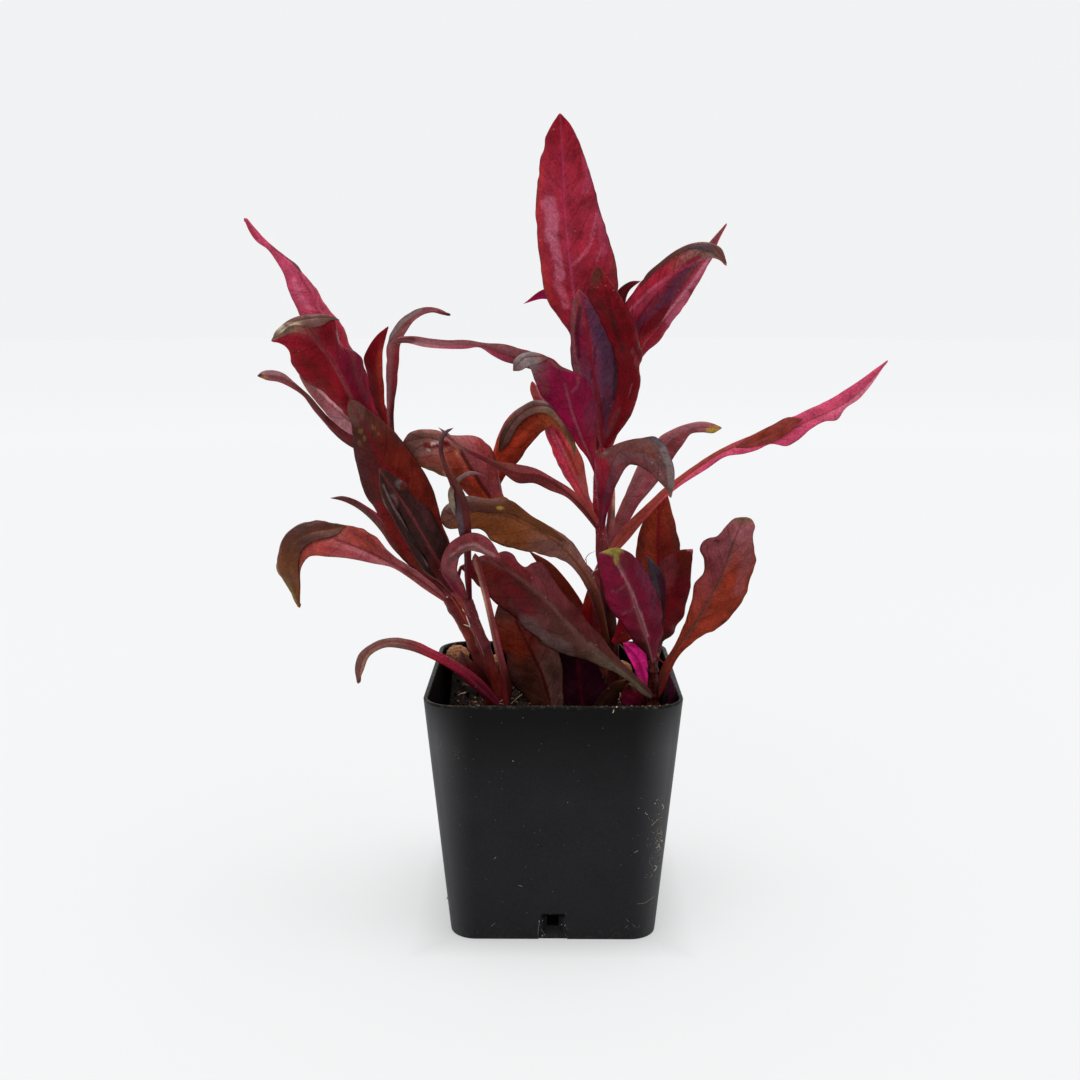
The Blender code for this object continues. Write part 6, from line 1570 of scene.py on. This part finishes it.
def pot_material(name, mottling, specks, tint, shine, roughness, specular):
    """Charcoal plastic, blacker towards the rim, with painted shade that makes the notches'
    recesses nearly black and a painted sheen that makes it paler round the corners, with a fine
    moulded grain, dust along the rim, the foot and the notches' edges, and pale specks. Heights and
    distances are in metres, as the object has them."""
    material, tree, shader = new_material(name, roughness, specular)
    spot = spot_in(tree)
    split = axes(spot)
    height = split["Z"]
    varied = use(tree, mottling, Color=tint, Vector=spot, Patch_Scale=90.0, Grain_Scale=1800.0,
                 Amount=0.4)
    sides = [sums("ABSOLUTE", split[axis]) for axis in "XY"]
    across, out = (sums(kind, *sides) for kind in ("MINIMUM", "MAXIMUM"))
    wall = spread(height, 0.0, POT_HEIGHT * MM, BASE_HALF * MM, RIM_HALF * MM)
    depth = sums("SUBTRACT", wall, out)
    low = sums("LESS_THAN", height, (NOTCH_TOP + 0.1) * MM)
    inside = times(low, sums("LESS_THAN", across, 0.0036))
    # Painted shade: the notch recess's steep sides and its roof are darkened nearly to black.
    sunk = spread(depth, 0.00008, 0.00016, 0.0, 1.0)
    step = times(sunk, spread(depth, 0.00044, 0.00048, 1.0, 0.0))
    roof = times(sunk, spread(height, 0.0051, 0.0053, 0.0, 1.0))
    black = times(inside, sums("MAXIMUM", step, roof))
    light = times(spread(height, 0.034, 0.0535, 1.0, 0.22), spread(black, 0.0, 1.0, 1.0, 0.05))
    # Painted sheen: paler towards the upright corners, less so near the rim.
    corner = spread(across, 0.0165, 0.0255, 0.0, 1.0)
    corner = times(corner, corner, spread(height, 0.046, 0.0555, 1.0, 0.35))
    toned = mixed(spread(height, 0.0554, 0.0557, 0.0, 1.0),
                  mixed(corner, scaled(varied["Color"], light), shine),
                  (0.0035, 0.0035, 0.0030, 1.0))
    rim = spread(height, 0.0552, 0.0558, 0.0, 1.0)
    foot = spread(height, 0.0, 0.0035, 0.5, 0.0)
    notch_half = spread(height, 0.0, NOTCH_TOP * MM, 0.0033, 0.0027)
    side = sums("ABSOLUTE", sums("SUBTRACT", across, notch_half))
    edge = times(spread(side, 0.0001, 0.0003, 0.8, 0.0), low)
    cover = spread(noise(spot, 900.0, 5.0, Roughness=0.7)["Fac"], 0.53, 0.66, 0.0, 1.0)
    where = sums("MAXIMUM", sums("MAXIMUM", rim, foot), edge)
    dusted = mixed(times(where, cover, 0.6), toned, (0.105, 0.100, 0.075, 1.0))
    small = use(tree, specks, Vector=spot, Scale=640.0, Rarity=0.80, Size=0.075)["Mask"]
    feed(shader, Base_Color=mixed(times(small, 0.5), dusted, (0.16, 0.14, 0.12, 1.0)),
         Roughness=spread(varied["Patches"], 0.3, 0.7, roughness - 0.06, roughness + 0.06))
    raised(shader, noise(spot, 2600.0, 2.0)["Fac"], 0.25, 0.00006)
    return material


def floor_material():
    """Matt paper under the plant, paler the further out it lies. Half its light is its own, so the
    shadow on it stays as faint as in a photographer's bright tent. That own light is dimmer in a
    ring round the pot's foot: a painted contact shadow."""
    material, tree, shader = new_material("pale_paper", 1.0, 0.0)
    spot = spot_in(tree)
    away = add(tree, "ShaderNodeVectorMath", dict(operation="LENGTH"), i0=spot).outputs["Value"]
    split = axes(spot)
    out = sums("MAXIMUM", *(sums("ABSOLUTE", split[axis]) for axis in "XY"))
    own = mixed(spread(away, 0.15, 0.9, 0.0, 1.0), (0.550, 0.552, 0.556, 1.0),
                (0.580, 0.583, 0.588, 1.0))
    feed(shader, Base_Color=mixed(spread(away, 0.12, 1.3, 0.0, 1.0), (0.315, 0.316, 0.318, 1.0),
                                  (0.443, 0.444, 0.446, 1.0)),
         # Painted contact shadow: less own light close round the pot's foot.
         Emission_Color=mixed(spread(out, 0.0233, 0.032, 0.22, 0.0), own, (0.05, 0.05, 0.05, 1.0)),
         Emission_Strength=1.0)
    material.cycles.emission_sampling = "NONE"
    return material


def make_rim_dust(material):
    """Crumbs that lie on the pot's rim, most of them at its near right corner."""
    draw = np.random.default_rng(SEED + 8)
    x = np.concatenate((draw.uniform(-24.0, 24.0, 90), draw.normal(23.0, 2.2, 60)))
    x = np.clip(x, -27.0, 26.2)
    bend = np.clip(np.abs(x) - (RIM_HALF - RIM_CORNER), 0.0, RIM_CORNER)
    y = -(RIM_HALF - RIM_CORNER) - np.sqrt(np.clip((RIM_CORNER - 0.5) ** 2 - bend**2, 0.0, None))
    middles = np.stack((x, y, np.full(len(x), POT_HEIGHT + 0.02)), axis=1)
    sizes = 0.05 + 0.22 * draw.random(len(x)) ** 4
    kinds = drawn_shades(draw, "straw_grey earth dim_chalk earth olive_grey brown", len(x))
    new_piece("rim_crumbs", *lumps(np.random.default_rng(SEED + 9), middles, sizes), [material],
              "medium", tissue=np.repeat(kinds, 12, axis=0))


def on_wall(spots):
    """The points of the pot's outer wall that are seen at the places: sight() again and again,
    each time with the wall's depth at the last point, a quarter circle round each corner."""
    deep = np.full(len(spots), -RIM_HALF)
    for _ in range(8):
        at = sight(spots, deep)
        half, corner = wall_half(at[:, 2]), wall_corner(at[:, 2])
        bend = np.clip(np.abs(at[:, 0]) - (half - corner), 0.0, corner - 0.1)
        deep = -(half - corner) - np.sqrt(corner**2 - bend**2)
    return sight(spots, deep)


def threads_piece(name, threads, placed, material):
    """Thin threads as one piece: tubes of a few sides along each path, closed at both ends and
    put in their place by a function."""
    whole = [[], [], [], []]
    t = np.linspace(0.0, 1.0, THREAD_RINGS)
    side_faces, end_faces = tube_faces(THREAD_RINGS, THREAD_SIDES)
    each = THREAD_RINGS * THREAD_SIDES + 2
    for k, (path, radius, tint) in enumerate(entries(threads)):
        axis = placed(line(path, t))
        width = float(radius) * (0.55 + 0.45 * np.sin(math.pi * (0.12 + 0.8 * t)))[:, None]
        ring = tube_rings(axis, width * np.ones((1, THREAD_SIDES)), THREAD_SIDES).reshape(-1, 3)
        ends = np.stack((axis[0] - 0.3 * (axis[1] - axis[0]),
                         axis[-1] + 0.3 * (axis[-1] - axis[-2])))
        for part, values in zip(whole, (np.concatenate((ring, ends)), side_faces + each * k,
                                        end_faces + each * k,
                                        np.repeat(shade(tint)[None], each, axis=0))):
            part.append(values)
    *shapes, tissue = (np.concatenate(part) for part in whole)
    new_piece(name, *shapes, [material], "medium", tissue=tissue)


def make_wall_dust(material):
    """Dust on the pot's front: the single specks, and a scuffed patch low on the right, where
    specks lie closest along its outer side."""
    draw = np.random.default_rng(SEED + 14)
    single = places(SPECKS)
    close, loose, patch = 190, 140, 40
    down = np.concatenate((draw.normal(838, 9, close), draw.uniform(797, 878, loose)))
    reach = np.repeat((2.6, 7.0), (close, loose))
    across = 661.5 - 0.045 * (down - 840) - np.abs(draw.normal(0, 1, close + loose)) * reach
    scuff = np.stack((draw.normal(455, 3.5, patch), draw.normal(753, 4.0, patch)), axis=1)
    spots = np.concatenate((single[:, :2], np.stack((across, down), axis=1), scuff))
    sizes = np.concatenate((single[:, 2], 0.05 + 0.13 * draw.random(close + loose) ** 3,
                            draw.uniform(0.03, 0.06, patch)))
    shapes = lumps(np.random.default_rng(SEED + 15), on_wall(spots), sizes)
    kinds = drawn_shades(draw, "chalk straw_grey dim_chalk dim_chalk", len(spots))
    kinds[:len(single)] = np.where(single[:, 2:] > 0.14, SHADES["chalk"], SHADES["dim_chalk"])
    new_piece("wall_dust", *shapes, [material], "medium", tissue=np.repeat(kinds, 12, axis=0))


def make_stem_hairs(material):
    """Short pale hairs on the upper centre stem and round the nodes, leaning upwards."""
    draw = np.random.default_rng(SEED + 12)
    starts, ways, lengths = [], [], []
    for node, low, high, count, reach in (("stem_centre", 0.66, 0.98, 420, 0.55),
                                          ("stem_centre", 0.28, 0.34, 70, 0.5),
                                          ("stem_left_main", 0.75, 0.95, 40, 0.5),
                                          ("stem_left_upper", 0.1, 0.35, 25, 0.3),
                                          ("stem_left", 0.85, 0.99, 20, 0.3)):
        stem = STEMS[node]
        t = draw.uniform(low, high, count)
        knots = np.linspace(0.0, 1.0, 200)
        axis = spots_at(line(stem["path"], knots))
        along = unit(np.gradient(axis, axis=0))
        at, way = (np.stack([np.interp(t, knots, rows[:, k]) for k in range(3)], axis=1)
                   for rows in (axis, along))
        way = unit(way)
        first = unit(np.cross(way, np.array((0.0, 1.0, 0.0))))
        second = np.cross(first, way)
        turn = draw.uniform(0.0, 2 * math.pi, count)[:, None]
        out = np.cos(turn) * first + np.sin(turn) * second
        starts.append(at + out * (even(stem["radius"], t) * 0.97)[:, None])
        ways.append(unit(out + way * draw.uniform(0.2, 1.2, (count, 1))))
        lengths.append(reach * draw.uniform(0.5, 1.4, count))
    starts, ways, lengths = (np.concatenate(part) for part in (starts, ways, lengths))
    *shapes, each = strands(starts, ways, lengths, np.full(len(starts), HAIR_RADIUS),
                            draw.normal(0, 0.08, (len(starts), 3)), 3)
    new_piece("stem_hairs", *shapes, [material], "stem",
              tissue=np.repeat(shade("white")[None], len(starts) * each, axis=0))


def make_floor(material):
    """Pale paper under the plant: a wide round disc, as rings round its middle."""
    reach, sides = np.array((0.15, 0.6, 2.0, 8.0)), 96
    turn = np.linspace(0.0, 2 * math.pi, sides, endpoint=False)
    points = np.stack((reach[:, None] * np.cos(turn), reach[:, None] * np.sin(turn),
                       0.0 * reach[:, None] + 0 * turn), axis=-1).reshape(-1, 3)
    points = np.concatenate((points, ((0.0, 0.0, 0.0),)))
    ring = np.arange(len(reach) * sides).reshape(-1, sides)
    after = np.roll(ring, -1, axis=1)
    quads = between(ring, after)[:, (0, 3, 2, 1)]
    tris = np.stack((ring[0], after[0], np.full(sides, len(points) - 1)), axis=-1)
    mesh = bpy.data.meshes.new("floor")
    mesh.from_pydata(points.tolist(), [], quads.tolist() + tris.tolist())
    mesh.materials.append(material)
    floor = bpy.data.objects.new("floor", mesh)
    bpy.context.scene.collection.objects.link(floor)


def add_light(name, place, size, power):
    """A soft square lamp that points at the plant's middle."""
    lamp = bpy.data.lights.new(name, "AREA")
    lamp.size, lamp.energy = size, power
    light = bpy.data.objects.new(name, lamp)
    light.location = place
    way = Vector((0.0, 0.0, 0.09)) - Vector(place)
    light.rotation_euler = way.to_track_quat("-Z", "Y").to_euler()
    bpy.context.scene.collection.objects.link(light)


def add_view():
    """The camera, the lights and the pale sky, which lights less from in front."""
    lens = bpy.data.cameras.new("camera")
    lens.sensor_width, lens.lens = SENSOR, SENSOR * PLANE_DISTANCE / (2 * PLANE_MIDDLE)
    lens.clip_start = 0.005
    camera = bpy.data.objects.new("camera", lens)
    camera.location = EYE * MM
    camera.rotation_euler = (math.pi / 2 - EYE_DIP, 0.0, EYE_TURN)
    bpy.context.scene.collection.objects.link(camera)
    bpy.context.scene.camera = camera
    add_light("overhead", (0.05, -0.05, 0.92), 0.45, 3.7)
    add_light("front", (-0.35, -0.75, 0.60), 0.8, 1.5)
    world = bpy.data.worlds.new("sky")
    world.use_nodes = True
    tree = world.node_tree
    way = axes(add(tree, "ShaderNodeTexCoord").outputs["Generated"])["Y"]
    seen = add(tree, "ShaderNodeLightPath").outputs["Is Camera Ray"]
    bright = sums("MAXIMUM", spread(way, -0.75, 0.0, 0.0, 1.0), seen)
    feed(tree.nodes["Background"], Strength=0.9,
         Color=mixed(bright, (0.30, 0.30, 0.31, 1.0), (0.985, 0.99, 1.0, 1.0)))
    bpy.context.scene.world = world
    bpy.context.scene.view_settings.view_transform = "Standard"


def laid_on(shape, grid):
    """A fold's shape with its depths taken from the leaf's face behind it."""
    t = np.linspace(0.0, 1.0, LAID_STEPS)
    gap = seen_at(grid)[None] - line(shape["mid"], t)[:, None, None]
    nearest = (gap**2).sum(axis=-1).reshape(LAID_STEPS, -1).argmin(axis=1)
    return dict(shape, deep=grid[..., 1].ravel()[nearest] - even(shape["deep"], t))


def main():
    """Builds every piece in its place, then the floor, the lights and the camera."""
    mottling, specks = mottling_group(), speck_group()
    groups = (vein_group(), mottling, specks)
    faces = [leaf_material("leaf_upper_face", "tissue", groups, (0.72, 0.5, 0.58, 1.0), 0.38),
             leaf_material("leaf_under_face", "tissue_back", groups, (1.2, 0.9, 1.0, 1.0), 0.46)]
    skin = stem_material(mottling)
    earth, fired, threads, hair = (plain_tissue_material(name, mottling, *values)
                                   for name, *values in PLAIN_TISSUES)
    for k, (node, parts) in enumerate(LEAVES.items()):
        make_leaf(node, parts, faces, SEED + 17 * k)
    for k, node in enumerate(STEMS):
        make_stem(node, skin, SEED + 7 * k)
    # The second pot material is a near-black copy for the inner wall: painted shade.
    make_pot([pot_material("charcoal_plastic", mottling, specks, (0.0150, 0.0143, 0.0160, 1.0),
                           (0.085, 0.083, 0.087, 1.0), 0.44, 0.09),
              pot_material("shaded_plastic", mottling, specks, (0.0014, 0.0013, 0.0014, 1.0),
                           (0.0014, 0.0013, 0.0014, 1.0), 0.42, 0.05)])
    make_medium(earth)
    make_crumbs(earth)
    make_fibres(threads)
    make_rim_dust(earth)
    threads_piece("straw_and_rootlets", BITS, spots_at, threads)
    threads_piece("scratches", SCRATCHES, on_wall, threads)
    make_wall_dust(earth)
    make_stem_hairs(hair)
    for k, node in enumerate(CLAY_BALLS):
        make_ball(node, fired, SEED + 5 * k)
    make_floor(floor_material())
    add_view()


main()
